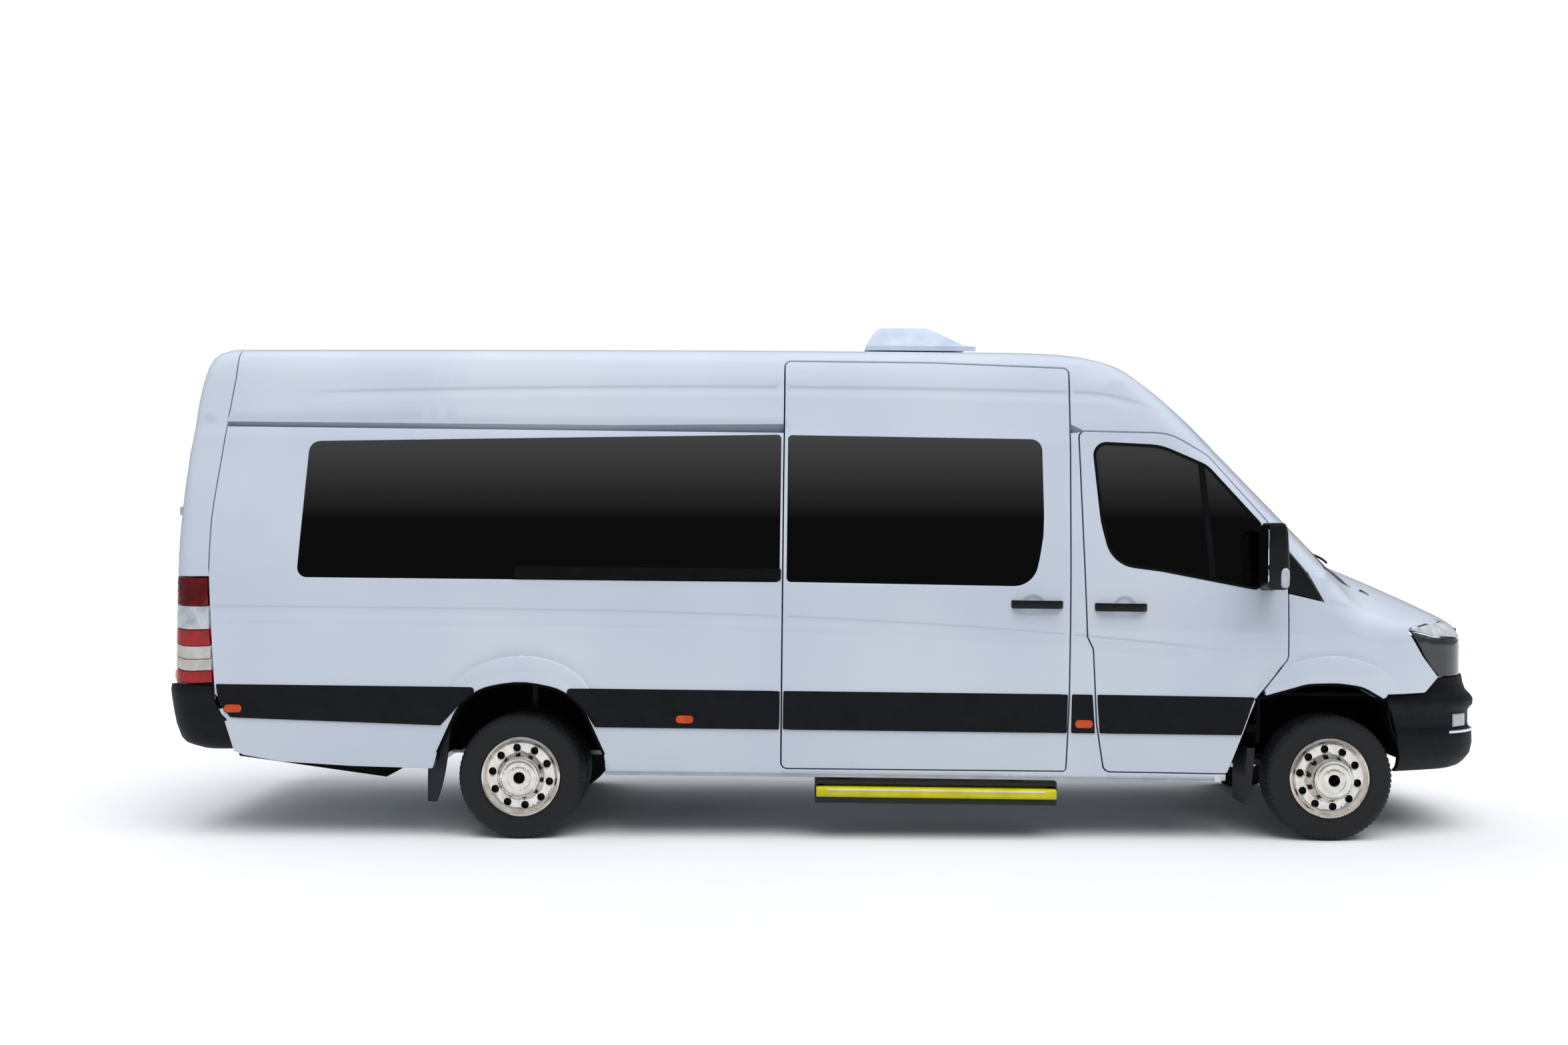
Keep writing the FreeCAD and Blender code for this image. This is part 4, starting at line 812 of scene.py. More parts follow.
# body panels
gap = vehicle["shutGap"]
doorOutline = rounded([
    (F(-1335), 2205, 30), (F(-850), 2198, 300), (F(-640), 2080, 160), (F(-327), 1722, 150),
    (F(-235), 1560, 120), (F(-235), 1000, 60), (F(-397), 794, 60), (F(-546), 382, 15),
    (F(-1200), 385, 40), (F(-1243), 640, 200), (F(-1264), 1040, 40), (F(-1296), 1105, 30),
    (F(-1315), 1600, 900)])
sliderOutline = rounded([
    (-289, 2577, 30), (500, 2575, 0), (F(-1389), 2550, 30), (F(-1388), 2100, 900),
    (F(-1396), 800, 3000), (F(-1408), 385, 15), (-287, 381, 30)])
windowCorners = {"rearTop": (R(-1176), 2110, 60), "rearFoot": (R(-1215), 1378, 50),
                 "frontTop": (F(-1540), 2158, 60), "frontSide": (F(-1530), 1640, 900),
                 "frontFoot": (F(-1590), 1371, 130)}
sideWindow = rounded([windowCorners["rearTop"], (-400, 2170, 0), windowCorners["frontTop"],
                      windowCorners["frontSide"], windowCorners["frontFoot"], windowCorners["rearFoot"]])
doorWindow = rounded([
    (F(-1256), 2140, 60), (F(-900), 2125, 300), (F(-655), 2020, 150), (F(-378), 1712, 40),
    (F(-384), 1372, 30), (F(-902), 1468, 60), (F(-1160), 1500, 160), (F(-1215), 1720, 600)])
rearArch = [(R(448), 443, 100), (R(330), 700, 250), (R(213), 790, 250), (R(0), 832, 500),
            (R(-213), 790, 250), (R(-330), 700, 250), (R(-448), 443, 100)]
frontArch = [(F(-546), 382, 15), (F(-408), 780, 90), (F(-130), 862, 250), (F(30), 868, 500),
             (F(160), 850, 200), (F(275), 786, 90)]


def alongX(height, x0, x1, offsets, step=30):
    # rows of side-view points that follow a line, one for each offset, for a sharper crease
    x = np.arange(min(x0, x1), max(x0, x1), step)
    rows = [np.stack([x, height(x) + off], axis=-1) for off in offsets]
    return np.concatenate(rows)


def aroundArch(arch, start=0, end=180, scales=(1.0, 1.012, 1.045, 0.975, 0.94, 0.89, 0.83, 0.76)):
    turn = np.radians(np.arange(start, end, 2.5))
    rows = [np.stack([arch["x"] + arch["wide"] * k * np.cos(turn),
                      arch["z"] + arch["high"] * k * np.sin(turn)],
                     axis=-1) for k in scales]
    return np.concatenate(rows)


def aroundDish(x, z, radius):
    turn = np.radians(np.arange(0, 360, 12))
    rows = [np.stack([x + radius * k * np.cos(turn), z + radius * k * np.sin(turn)], axis=-1)
            for k in (1.03, 0.96, 0.86, 0.75, 0.62, 0.4, 0.15)]
    return np.concatenate(rows)


creaseRows = (-85, -60, -40, -24, -12, -4, 2, 7, 12, 18)
sideLines = np.concatenate([
    alongX(beltLine, R(-1690), F(-480), creaseRows),
    alongX(lambda x: np.full_like(x, 2212), R(-1650), F(-1300), (-60, -35, -15)),
    aroundArch(arches["rear"]), aroundArch(arches["front"]),
    np.concatenate([aroundDish(*dish[:3]) for dish in recesses])])


def inBox(points, x0, x1, z0, z1):
    keep = (points[:, 0] > x0) & (points[:, 0] < x1) & (points[:, 1] > z0) & (points[:, 1] < z1)
    return points[keep]


def sidePanels():
    # rear quarter with the long window, sliding door, and the left-hand side without a sliding door
    lift = 6
    seam = rounded([(R(-1607) + lift, 2462, 300), (R(-1695) + lift, 1696, 1500),
                    (R(-1695) + lift, 1370, 900), (R(-1657) + lift, 800, 900),
                    (R(-1652) + lift, 700, 0)], closed=False)
    seam = seam[seam[:, 1] < vehicle["roofSeam"] - 3]
    sillLine = [(R(-1600), 617, 20), (R(-1546), 437, 8), (R(-1494), 415, 60), (R(-1299), 382, 300),
                (R(-910), 362, 300), (R(-475), 354, 10)]
    archLine = [(R(-448), 443, 60), (R(-330), 700, 250), (R(-213), 790, 250), (R(0), 832, 500),
                (R(213), 790, 250), (R(330), 700, 250), (R(448), 443, 60), (R(458), 340, 5)]
    topZ = vehicle["roofSeam"] - 3
    foot = [(F(-552), 340, 5), (F(-552), 374, 6)]
    before = rounded([(R(-1652) + lift, 700, 30)] + sillLine + archLine + foot, closed=False)
    doorGap = widened(doorOutline, gap)
    # the part of the front door's gap from its front foot round the back to its top
    x, z = doorGap[:, 0], doorGap[:, 1]
    start = np.argmin(np.hypot(x - F(-552), z - 376))
    end = np.argmin(np.hypot(x - F(-1325), z - topZ))
    turned = np.roll(doorGap, -start, axis=0)
    count = (end - start) % len(doorGap) + 1
    rear = turned[:count]
    rear = rear[rear[:, 1] < topZ]
    sliderGap = widened(sliderOutline, gap)
    lower = sliderGap[sliderGap[:, 1] < topZ]
    first = np.argmin(np.hypot(lower[:, 0] - F(-1380), lower[:, 1] - topZ))
    lower = np.roll(lower, -first, axis=0)
    if lower[1, 1] > lower[0, 1]:
        lower = np.roll(lower[::-1], 1, axis=0)
    outlineRight = np.concatenate([before, rear, lower, seam])
    outlineLeft = np.concatenate([before, rear, seam])
    rearWindow = rounded([windowCorners["rearTop"], (-310, 2170, 20), (-310, 1380, 20),
                          windowCorners["rearFoot"]])
    frontWindow = rounded([(-268, 2168, 20), windowCorners["frontTop"], windowCorners["frontSide"],
                           windowCorners["frontFoot"], (-268, 1381, 20)])
    lines = seenFrom("side", inBox(sideLines, R(-1760), F(-250), 330, 2215))

    def onSide(line):
        return seenFrom("side", line)

    # inner trim: a paler lining behind the steel
    right = skinOf([onSide(outlineRight), onSide(widened(rearWindow, 2))], rightSide, vehicle["wall"], 44,
                   [lines])
    dress("sideQuarterRight", right, [enamel, enamel, liningPlastic], slots=right["groups"],
          nodes=["body_side_right"])
    left = skinOf([onSide(outlineLeft), onSide(widened(sideWindow, 2))], rightSide, vehicle["wall"], 44,
                  [lines])
    left = mirrorOf(left)
    dress("sidePanelLeft", left, [enamel, enamel, liningPlastic], slots=left["groups"],
          nodes=["body_side_left"])

    doorLines = np.concatenate([sideLines, alongX(roofLine, -280, F(-1395), creaseRows)])
    doorLines = seenFrom("side", inBox(doorLines, -289, F(-1390), 390, 2570))
    slide = skinOf([onSide(sliderOutline), onSide(widened(frontWindow, 2))], rightSide, 45, 40, [doorLines])
    dress("slidingDoorSkin", slide, [enamel, enamel, liningPlastic], slots=slide["groups"],
          nodes=["sliding_door"])

    frontLines = seenFrom("side", inBox(sideLines, F(-1335), F(-235), 390, 2200))
    door = skinOf([onSide(doorOutline), onSide(widened(doorWindow, 1))], rightSide, vehicle["leaf"], 38,
                  [frontLines])
    dress("frontDoorSkinRight", door, [enamel, enamel, liningPlastic], "door_front_right",
          slots=door["groups"], nodes=["front_door_right"])
    doorLeft = mirrorOf(door)
    dress("frontDoorSkinLeft", doorLeft, [enamel, enamel, liningPlastic], "door_front_left",
          slots=doorLeft["groups"], nodes=["front_door_left"])

    # panes: bonded flush, a little behind the paint
    panes = [skinOf([onSide(line)], rightSide, vehicle["pane"], 60, roll=2.0, level=-2.0, back=bodyForm)
             for line in (rearWindow, frontWindow, sideWindow)]
    panes[2] = mirrorOf(panes[2])
    dress("sidePanes", together(panes), darkGlass, nodes=["side_windows"])
    return onSide


onSide = sidePanels()
print("side panels made")
# roof, pillars, tail and nose


def traced(laying, corners, step=40, level=0.0):
    # a coarse line of 3-D points, divided evenly and carried out to the form
    corners = np.asarray(corners, float)
    pieces = []
    for one, two in zip(corners[:-1], corners[1:]):
        n = max(1, int(np.linalg.norm(two - one) / step))
        pieces.append(one + (two - one) * (np.arange(n) / n)[:, None])
    line = np.concatenate(pieces + [corners[-1:]])
    flat, rays = laying
    return meet(bodyForm, *rays(flat(line)), level)


def thinned(line, least=6):
    # a closed line without points that nearly coincide
    keep = [0]
    for i in range(1, len(line)):
        if np.linalg.norm(line[i] - line[keep[-1]]) > least:
            keep.append(i)
    if np.linalg.norm(line[keep[-1]] - line[0]) < least:
        keep.pop()
    return line[keep]


def bothSides(half):        # a closed line from its right-hand half, which runs middle to middle
    other = flipped(half)
    return thinned(np.concatenate([half, other]))


tailView = aroundPoint(R(-1300), 1500, -1)
noseView = aroundPoint(F(-300), 900, 1)
roofView = aroundLine(1100)
lidView = straight((0.5, 0, 0.87), (F(500), 0, 900))
screenView = straight((math.sin(math.radians(45.4)), 0, math.cos(math.radians(45.4))), (F(-300), 0, 900))
seamTop = 2540
fullSeam = rounded([(R(-1695), 1373, 0), (R(-1695), 1696, 1500), (R(-1607), 2462, 300),
                    (R(-1607), seamTop, 0)], closed=False)
screenEdge = rounded([(-700, 1600, 80), (-600, 1540, 900), (600, 1540, 900), (700, 1600, 80),
                      (660, 2125, 120), (0, 2175, 3000), (-660, 2125, 120)])
rearDoorEdge = rounded([(-11, 600, 15), (-11, 2452, 15), (-722, 2400, 110), (-770, 2225, 300),
                        (-870, 1760, 300), (-870, 600, 25)])
lampSide = 897              # inner limit of the tail lamps, across


def overRoof(x, low=0.0):
    # right-hand half of a line across the roof at one station, from the side seam's height to the middle
    side = seenFrom("side", np.array([[x, seamTop]]))[0]
    turn = math.atan2(side[1], side[2] - 1100)
    turns = np.linspace(turn, low, 26)
    zero = np.zeros(26)
    return meet(bodyForm, vec(zero + x, zero, zero + 1100), vec(zero, np.sin(turns), np.cos(turns)), 0.0)


def tailFrame():
    # the rear corner posts, sill and header as one hoop round the two doors
    right = np.concatenate([
        traced(tailView, [(R(-1900), 0, 560), (R(-1900), -lampSide, 560), (R(-1900), -lampSide, 1373)]),
        traced(tailView, [(R(-1890), -lampSide, 1373), (R(-1860), -960, 1373), (R(-1695), -988, 1373)], 25),
        seenFrom("side", fullSeam[1:-1]), overRoof(R(-1607))])
    hole = widened(rearDoorEdge, gap)
    half = hole[hole[:, 0] < -11]
    first = np.argmin(np.hypot(half[:, 0] + 20, half[:, 1] - 2459))
    half = np.roll(half, -first, axis=0)
    if half[1, 0] > half[0, 0]:
        half = np.roll(half[::-1], 1, axis=0)
    hole = np.concatenate([half, half[::-1] * (-1, 1)])
    hoop = skinOf([bothSides(right), thinned(seenFrom("rear", hole))], tailView, vehicle["wall"], 40)
    dress("tailHoop", hoop, [enamel, enamel, liningPlastic], slots=hoop["groups"], nodes=["rear_frame"])


def roofAndPillars():
    # roof and windscreen pillars as one pressing, as the maker welds and leads them
    top = vehicle["roofSeam"] + 3
    rear = overRoof(R(-1601))[::-1]
    seam = fullSeam + (6, 0)
    seam = seam[seam[:, 1] > top][::-1]
    slider = widened(sliderOutline, gap)
    slider = slider[slider[:, 1] > top]
    first = np.argmin(np.hypot(slider[:, 0] + 296, slider[:, 1] - top))
    slider = np.roll(slider, -first, axis=0)
    if slider[1, 1] < slider[0, 1]:
        slider = np.roll(slider[::-1], 1, axis=0)
    door = widened(doorOutline, gap)
    ahead = (door[:, 1] > 2190) | (door[:, 0] > F(-1100))
    door = door[(door[:, 1] > 1575) & (door[:, 0] > F(-1322)) & ahead]
    door = door[np.argsort(door[:, 0] * 2 - door[:, 1])]

    def sideEdge(cut):
        side = np.concatenate([seam, [(R(-1640), top), (-1200, top)]] + cut
                              + [[(F(-1322), top - 1)], door, [(2409, 1578), (2504, 1461)]])
        line = [side[0]]
        for one, two in zip(side[:-1], side[1:]):
            n = max(1, int(np.hypot(*(two - one)) / 45))
            line += [one + (two - one) * k / n for k in range(1, n + 1)]
        return seenFrom("side", np.array(line))
    side, plainSide = sideEdge([slider]), sideEdge([])
    edge = widened(screenEdge, 6)
    glassSide = edge[(edge[:, 0] < 0) & (edge[:, 1] > 1585)]
    order = np.where(glassSide[:, 1] > 2120, 4000 + glassSide[:, 0], glassSide[:, 1])
    glassSide = glassSide[np.argsort(order)]
    foot = traced(noseView, [side[-1], (F(-9), -880, 1461), (F(20), -760, 1500),
                             seenFrom("front", glassSide[:1])[0]], 30)[1:-1]
    glassSide = seenFrom("front", glassSide)
    half = np.concatenate([rear, side, foot, glassSide])
    left = flipped(np.concatenate([rear, plainSide, foot, glassSide]))     # no sliding door on this side
    crease = alongX(roofLine, R(-1560), F(-900), creaseRows)
    lines = seenFrom("side", inBox(crease, R(-1590), F(-900), 2240, 2560))
    keep = (lines[:, 0] < -320) | (lines[:, 0] > F(-1360))
    lines = np.concatenate([lines[keep], lines * (1, -1, 1)])
    roof = skinOf([thinned(np.concatenate([half, left]))], roofView, vehicle["wall"], 46, [lines])
    dress("roofPressing", roof, [enamel, enamel, liningPlastic], slots=roof["groups"],
          nodes=["roof_panel", "windscreen_pillars"])


tailFrame()
roofAndPillars()
print("tail and roof made")
# nose
lidPlan = rounded([
    (F(205), -640, 60), (F(700), -600, 300), (F(872), -420, 160), (F(918), 0, 2200), (F(872), 420, 160),
    (F(700), 600, 300), (F(205), 640, 60), (F(175), 0, 6000)])
lampEdge = rounded([(F(432), 1157, 15), (F(585), 1180, 60), (F(700), 1150, 60), (F(900), 900, 60),
                    (F(640), 893, 40), (F(533), 1011, 80)], 25)
lidFront = 1152


def lidLine(grow, front):
    # right-hand half of the bonnet's edge from its rear middle to its front middle
    plan = widened(lidPlan, grow)
    half = plan[plan[:, 1] < 0]
    half = half[np.argsort(np.arctan2(half[:, 0] - F(500), half[:, 1]))]
    rear = half[half[:, 0] < F(300)]
    side = half[half[:, 0] >= F(300)]
    rear = rear[np.argsort(-rear[:, 1])]
    side = side[np.argsort(side[:, 0])]
    points = seenFrom("top", np.concatenate([rear, side]))
    points = points[points[:, 2] > front + 4]
    last = points[-1]
    across = np.linspace(last[1], 0, 16)
    return np.concatenate([points, seenFrom("front", np.stack([across, np.full(16, front)], axis=-1))])


def bonnetSkin():
    # bonnet with its front edge above the grille
    half = lidLine(0, lidFront)
    lid = skinOf([bothSides(half)], lidView, vehicle["lid"], 36)
    dress("bonnetSkin", lid, [enamel, enamel, linerPlastic], "bonnet", slots=lid["groups"], nodes=["bonnet"])


def wingSkins():
    # front wings from the door to the lamps, with the arch and the bonnet's gutter
    gutter = lidLine(gap, lidFront - gap)
    gutter = gutter[(gutter[:, 1] < -560)]
    rearTop = [(2402 + gap, 1345), (2598, 1302), (2504, 1455)]
    door = widened(doorOutline, gap)
    door = door[(door[:, 0] > F(-397) + 4) & (door[:, 1] < 1340) & (door[:, 1] > 800)]
    door = door[np.argsort(-door[:, 1])]
    arch = rounded([(F(-400), 786, 0)] + frontArch[2:] + [(F(297), 800, 0)], closed=False)
    arch = arch[arch[:, 0] > F(-388)]
    bumperTop = rounded([(F(305), 813, 0), (F(545), 814, 30), (F(632), 895, 30), (F(660), 896, 0)],
                        closed=False)
    lamp = widened(lampEdge, 5)
    first = np.argmin(np.hypot(lamp[:, 0] - F(650), lamp[:, 1] - 888))
    lamp = np.roll(lamp, -first, axis=0)
    if lamp[4, 0] > lamp[0, 0]:
        lamp = np.roll(lamp[::-1], 1, axis=0)
    last = np.argmin(np.hypot(lamp[:, 0] - F(640), lamp[:, 1] - 1176))
    lamp = lamp[:last + 1]
    lamp = lamp[lamp[:, 1] > 896]
    side = np.concatenate([rearTop[1::-1], door, arch, bumperTop, lamp])
    line = [side[0]]
    for one, two in zip(side[:-1], side[1:]):
        n = max(1, int(np.hypot(*(two - one)) / 45))
        line += [one + (two - one) * k / n for k in range(1, n + 1)]
    side = seenFrom("side", np.array(line))
    gutter = gutter[(gutter[:, 0] < F(700)) & (gutter[:, 0] > F(215))][::-1]
    foot = traced(noseView, [gutter[-1], (F(20), -740, 1458), (F(-9), -880, 1457), (2504, -930, 1455)],
                  30)[1:]
    top = traced(noseView, [side[-1], (F(696), -603, 1187), gutter[0]], 30)[1:-1]
    rows = (-70, -50, -30, -14, -5, 2, 8, 14, 20)
    lines = np.concatenate([inBox(aroundArch(arches["front"]), F(-390), F(400), 700, 1150),
                            inBox(alongX(wingLine, 2540, 3040, rows), 2520, 3050, 1000, 1440)])
    wing = skinOf([thinned(np.concatenate([side, top, gutter, foot]))], noseView, vehicle["wall"], 34,
                  [seenFrom("side", lines)])
    wings = together([wing, mirrorOf(wing)])
    dress("wingSkins", wings, [enamel, enamel, linerPlastic], slots=wings["groups"], nodes=["front_wings"])


def glassAndScuttle():
    # windscreen with its fired black border, and the black scuttle below it
    screen = skinOf([thinned(seenFrom("front", screenEdge))], screenView, vehicle["pane"], 50, roll=2.0,
                    level=-2.0, back=bodyForm)
    dress("windscreenPane", screen, [screenGlass], nodes=["windscreen"])
    inner = widened(screenEdge, -48)
    border = skinOf([thinned(seenFrom("front", widened(screenEdge, -1))), thinned(seenFrom("front", inner))],
                    screenView, 2.0, 40, roll=0.5, level=-7.5, back=bodyForm)
    dress("windscreenBorder", border, [smoothBlack])
    low = widened(screenEdge, 7)
    low = low[(low[:, 1] < 1580) & (low[:, 0] <= 0)]
    low = low[np.argsort(-low[:, 0])]
    upper = seenFrom("front", low)[1:]
    lower = lidLine(gap, lidFront - gap)
    lower = lower[lower[:, 0] < F(222)][::-1]
    start = seenFrom("front", np.array([[0, upper[0][2]]]))
    end = traced(noseView, [upper[-1], (F(30), -722, 1460), lower[0]], 30)[1:-1]
    half = np.concatenate([start, upper, end, lower])
    half[0, 1] = 0
    scuttle = skinOf([bothSides(half)], screenView, 30, 30, roll=3.0, level=-3.0)
    dress("scuttleCowl", scuttle, [smoothBlack], nodes=["scuttle_panel"])


bonnetSkin()
wingSkins()
glassAndScuttle()
print("nose made")
# pieces that keep the solids' form


def smoothedCopy(node, name, materials, body="body", soften=0.0, turn=28):
    # a merged copy of a CAD node, its edges rounded by soften millimetres
    mesh = frame["nodes"][node].data.copy()
    work = bmesh.new()
    work.from_mesh(mesh)
    bmesh.ops.remove_doubles(work, verts=work.verts, dist=1e-5)
    bmesh.ops.dissolve_limit(work, angle_limit=math.radians(0.5), verts=work.verts, edges=work.edges)
    work.to_mesh(mesh)
    work.free()
    mesh.materials.clear()
    mesh.materials.append(materials)
    piece = bpy.data.objects.new(name, mesh)
    scene.collection.objects.link(piece)
    if soften:
        bevel = piece.modifiers.new("rounded edges", "BEVEL")
        bevel.width, bevel.segments, bevel.limit_method = soften / 1000, 2, "ANGLE"
        bevel.angle_limit = math.radians(turn)
        bevel.harden_normals = False
        shape = bpy.data.meshes.new_from_object(piece.evaluated_get(bpy.context.evaluated_depsgraph_get()))
        piece.modifiers.clear()
        piece.data = shape
        mesh = shape
    mesh.polygons.foreach_set("use_smooth", np.ones(len(mesh.polygons), bool))
    mesh.set_sharp_from_angle(angle=math.radians(turn))
    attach(piece, body)
    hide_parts(node)
    return piece


plainFinish = {
    "floor_pan": linerPlastic, "chassis_frame": chassisPaint, "leaf_springs": bareSteel,
    "engine_block": chassisPaint, "exhaust_pipe": galvanised, "fuel_tank": linerPlastic,
    "front_grille": smoothBlack, "rear_bumper": charcoalPlastic, "front_bumper": charcoalPlastic,
    "headlamps": clearLens, "tail_lamps": redLens, "marker_lamps": amberLens,
    "roof_air_conditioner": acShell, "step_housing": blackCoat, "step_tread": yellowCoat,
    "front_door_glass_right": darkGlass, "front_door_glass_left": darkGlass,
    "mirror_right": smoothBlack, "mirror_left": smoothBlack,
    "rear_door_right": enamel, "rear_door_left": enamel,
    "rear_door_glass_right": darkGlass, "rear_door_glass_left": darkGlass,
    "dashboard": interiorPlastic, "steering_wheel": interiorPlastic,
    "front_seats": seatCloth, "passenger_seats": seatCloth, "mudflaps": flapRubber,
    "front_axle": chassisPaint, "knuckle_right": chassisPaint, "knuckle_left": chassisPaint,
    "front_wheel_right": polished, "front_wheel_left": polished,
    "front_tyre_right": rubber, "front_tyre_left": rubber, "rear_axle": chassisPaint,
    "propshaft": bareSteel, "rear_wheels_right": polished, "rear_wheels_left": polished,
    "rear_tyres_right": rubber, "rear_tyres_left": rubber,
    "body_side_right": enamel, "body_side_left": enamel, "roof_panel": enamel, "rear_frame": enamel,
    "windscreen_pillars": enamel, "front_wings": enamel, "scuttle_panel": smoothBlack,
    "windscreen": screenGlass, "side_windows": darkGlass, "sliding_door": enamel, "bonnet": enamel,
    "front_door_right": enamel, "front_door_left": enamel,
}
for name, node in frame["nodes"].items():
    node.data.materials.clear()
    node.data.materials.append(plainFinish[name])
bodyOf = {node: body for body, nodes in frame["record"]["behaviour"]["bodies"].items() for node in nodes}
softened = {
    "roof_air_conditioner": 6.0, "step_housing": 2.0,
    "chassis_frame": 3.0,
    "engine_block": 12.0, "fuel_tank": 20.0, "dashboard": 8.0,
    "rear_axle": 2.0, "exhaust_pipe": 1.0, "front_axle": 2.0, "floor_pan": 2.0,
}
for node, radius in softened.items():
    words = node.split("_")
    smoothedCopy(node, words[0] + "".join(w.capitalize() for w in words[1:]) + "Piece", plainFinish[node],
                 bodyOf[node], radius)
print("plain pieces made")
# lamps, bands and outside fittings


def capped(faces, rows, columns):
    # a swept closed profile's faces, with its first and last sections filled
    first = list(range(columns))[::-1]
    last = [(rows - 1) * columns + j for j in range(columns)]
    return faces + [first, last]


def solidAlong(name, path, profile, materials, body="body", up=(0, 0, 1), nodes=(), turn=35):
    # a closed profile (out, up) swept along a path of points; out is square to the path and to up
    path = np.asarray(path, float)
    way = unit(np.gradient(path, axis=0))
    up = np.asarray(up, float)
    out = unit(np.cross(way, up))
    lift = np.cross(out, way)
    profile = np.asarray(profile, float)
    points = (path[:, None] + out[:, None] * profile[None, :, :1] + lift[:, None] * profile[None, :, 1:])
    rows, columns = len(path), len(profile)
    faces = capped(gridFaces(rows, columns, False, True), rows, columns)
    area = np.sum(profile[:, 0] * np.roll(profile[:, 1], -1) - np.roll(profile[:, 0], -1) * profile[:, 1])
    if area > 0:
        faces = [face[::-1] for face in faces]
    piece = makeMesh(name, points.reshape(-1, 3), faces, materials, body, turn=turn)
    if nodes:
        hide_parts(*nodes)
    return piece


def roundProfile(wide, high, radius, each=4):
    # a rounded rectangle about its middle
    turn = np.linspace(0, math.pi / 2, each + 1)
    corners = []
    for k, (a, b) in enumerate([(1, 1), (-1, 1), (-1, -1), (1, -1)]):
        angle = turn + k * math.pi / 2
        corners.append(np.stack([a * (wide / 2 - radius) + radius * np.cos(angle),
                                 b * (high / 2 - radius) + radius * np.sin(angle)], axis=-1))
    return np.concatenate(corners)


band = {"roll": 6.0, "thick": 10.0}


def cladding():
    # charcoal side bands: each with its upper edge, foot and ends, standing off the body
    low, high = vehicle["bandLow"], vehicle["bandHigh"]
    proud = vehicle["bandProud"]

    def strip(corners):
        line = seenFrom("side", rounded(corners, 40))
        return skinOf([thinned(line)], rightSide, band["thick"], 40, roll=band["roll"], level=proud,
                      back=bodyForm)
    rear = strip([(R(-1640), 798, 6), (R(-1625), 700, 200), (R(-1560), 619, 6), (R(-430), low, 10),
                  (R(-330), 700, 250), (R(-213), 798, 20)])
    middle = strip([(R(213), high, 20), (R(330), 700, 250), (R(400), low, 10), (-300, low, 8),
                    (-300, high, 8)])
    leftMiddle = strip([(R(213), high, 20), (R(330), 700, 250), (R(400), low, 10), (F(-1254), low, 8),
                        (F(-1268), high, 8)])
    slide = strip([(-282, high, 8), (-282, low, 8), (F(-1404), low, 8), (F(-1401), high, 8)])
    post = strip([(F(-1380), high, 6), (F(-1382), low, 6), (F(-1254), low, 6), (F(-1270), high, 6)])
    door = strip([(F(-1246), high, 8), (F(-1230), low, 8), (F(-478), low, 8), (F(-408), high - 4, 8)])
    right = together([rear, middle, post])
    dress("sideBandsRight", right, charcoalPlastic)
    left = together([mirrorOf(rear), mirrorOf(leftMiddle)])
    dress("sideBandsLeft", left, charcoalPlastic)
    dress("slidingDoorBand", slide, charcoalPlastic)
    dress("frontDoorBandRight", door, charcoalPlastic, "door_front_right")
    dress("frontDoorBandLeft", mirrorOf(door), charcoalPlastic, "door_front_left")


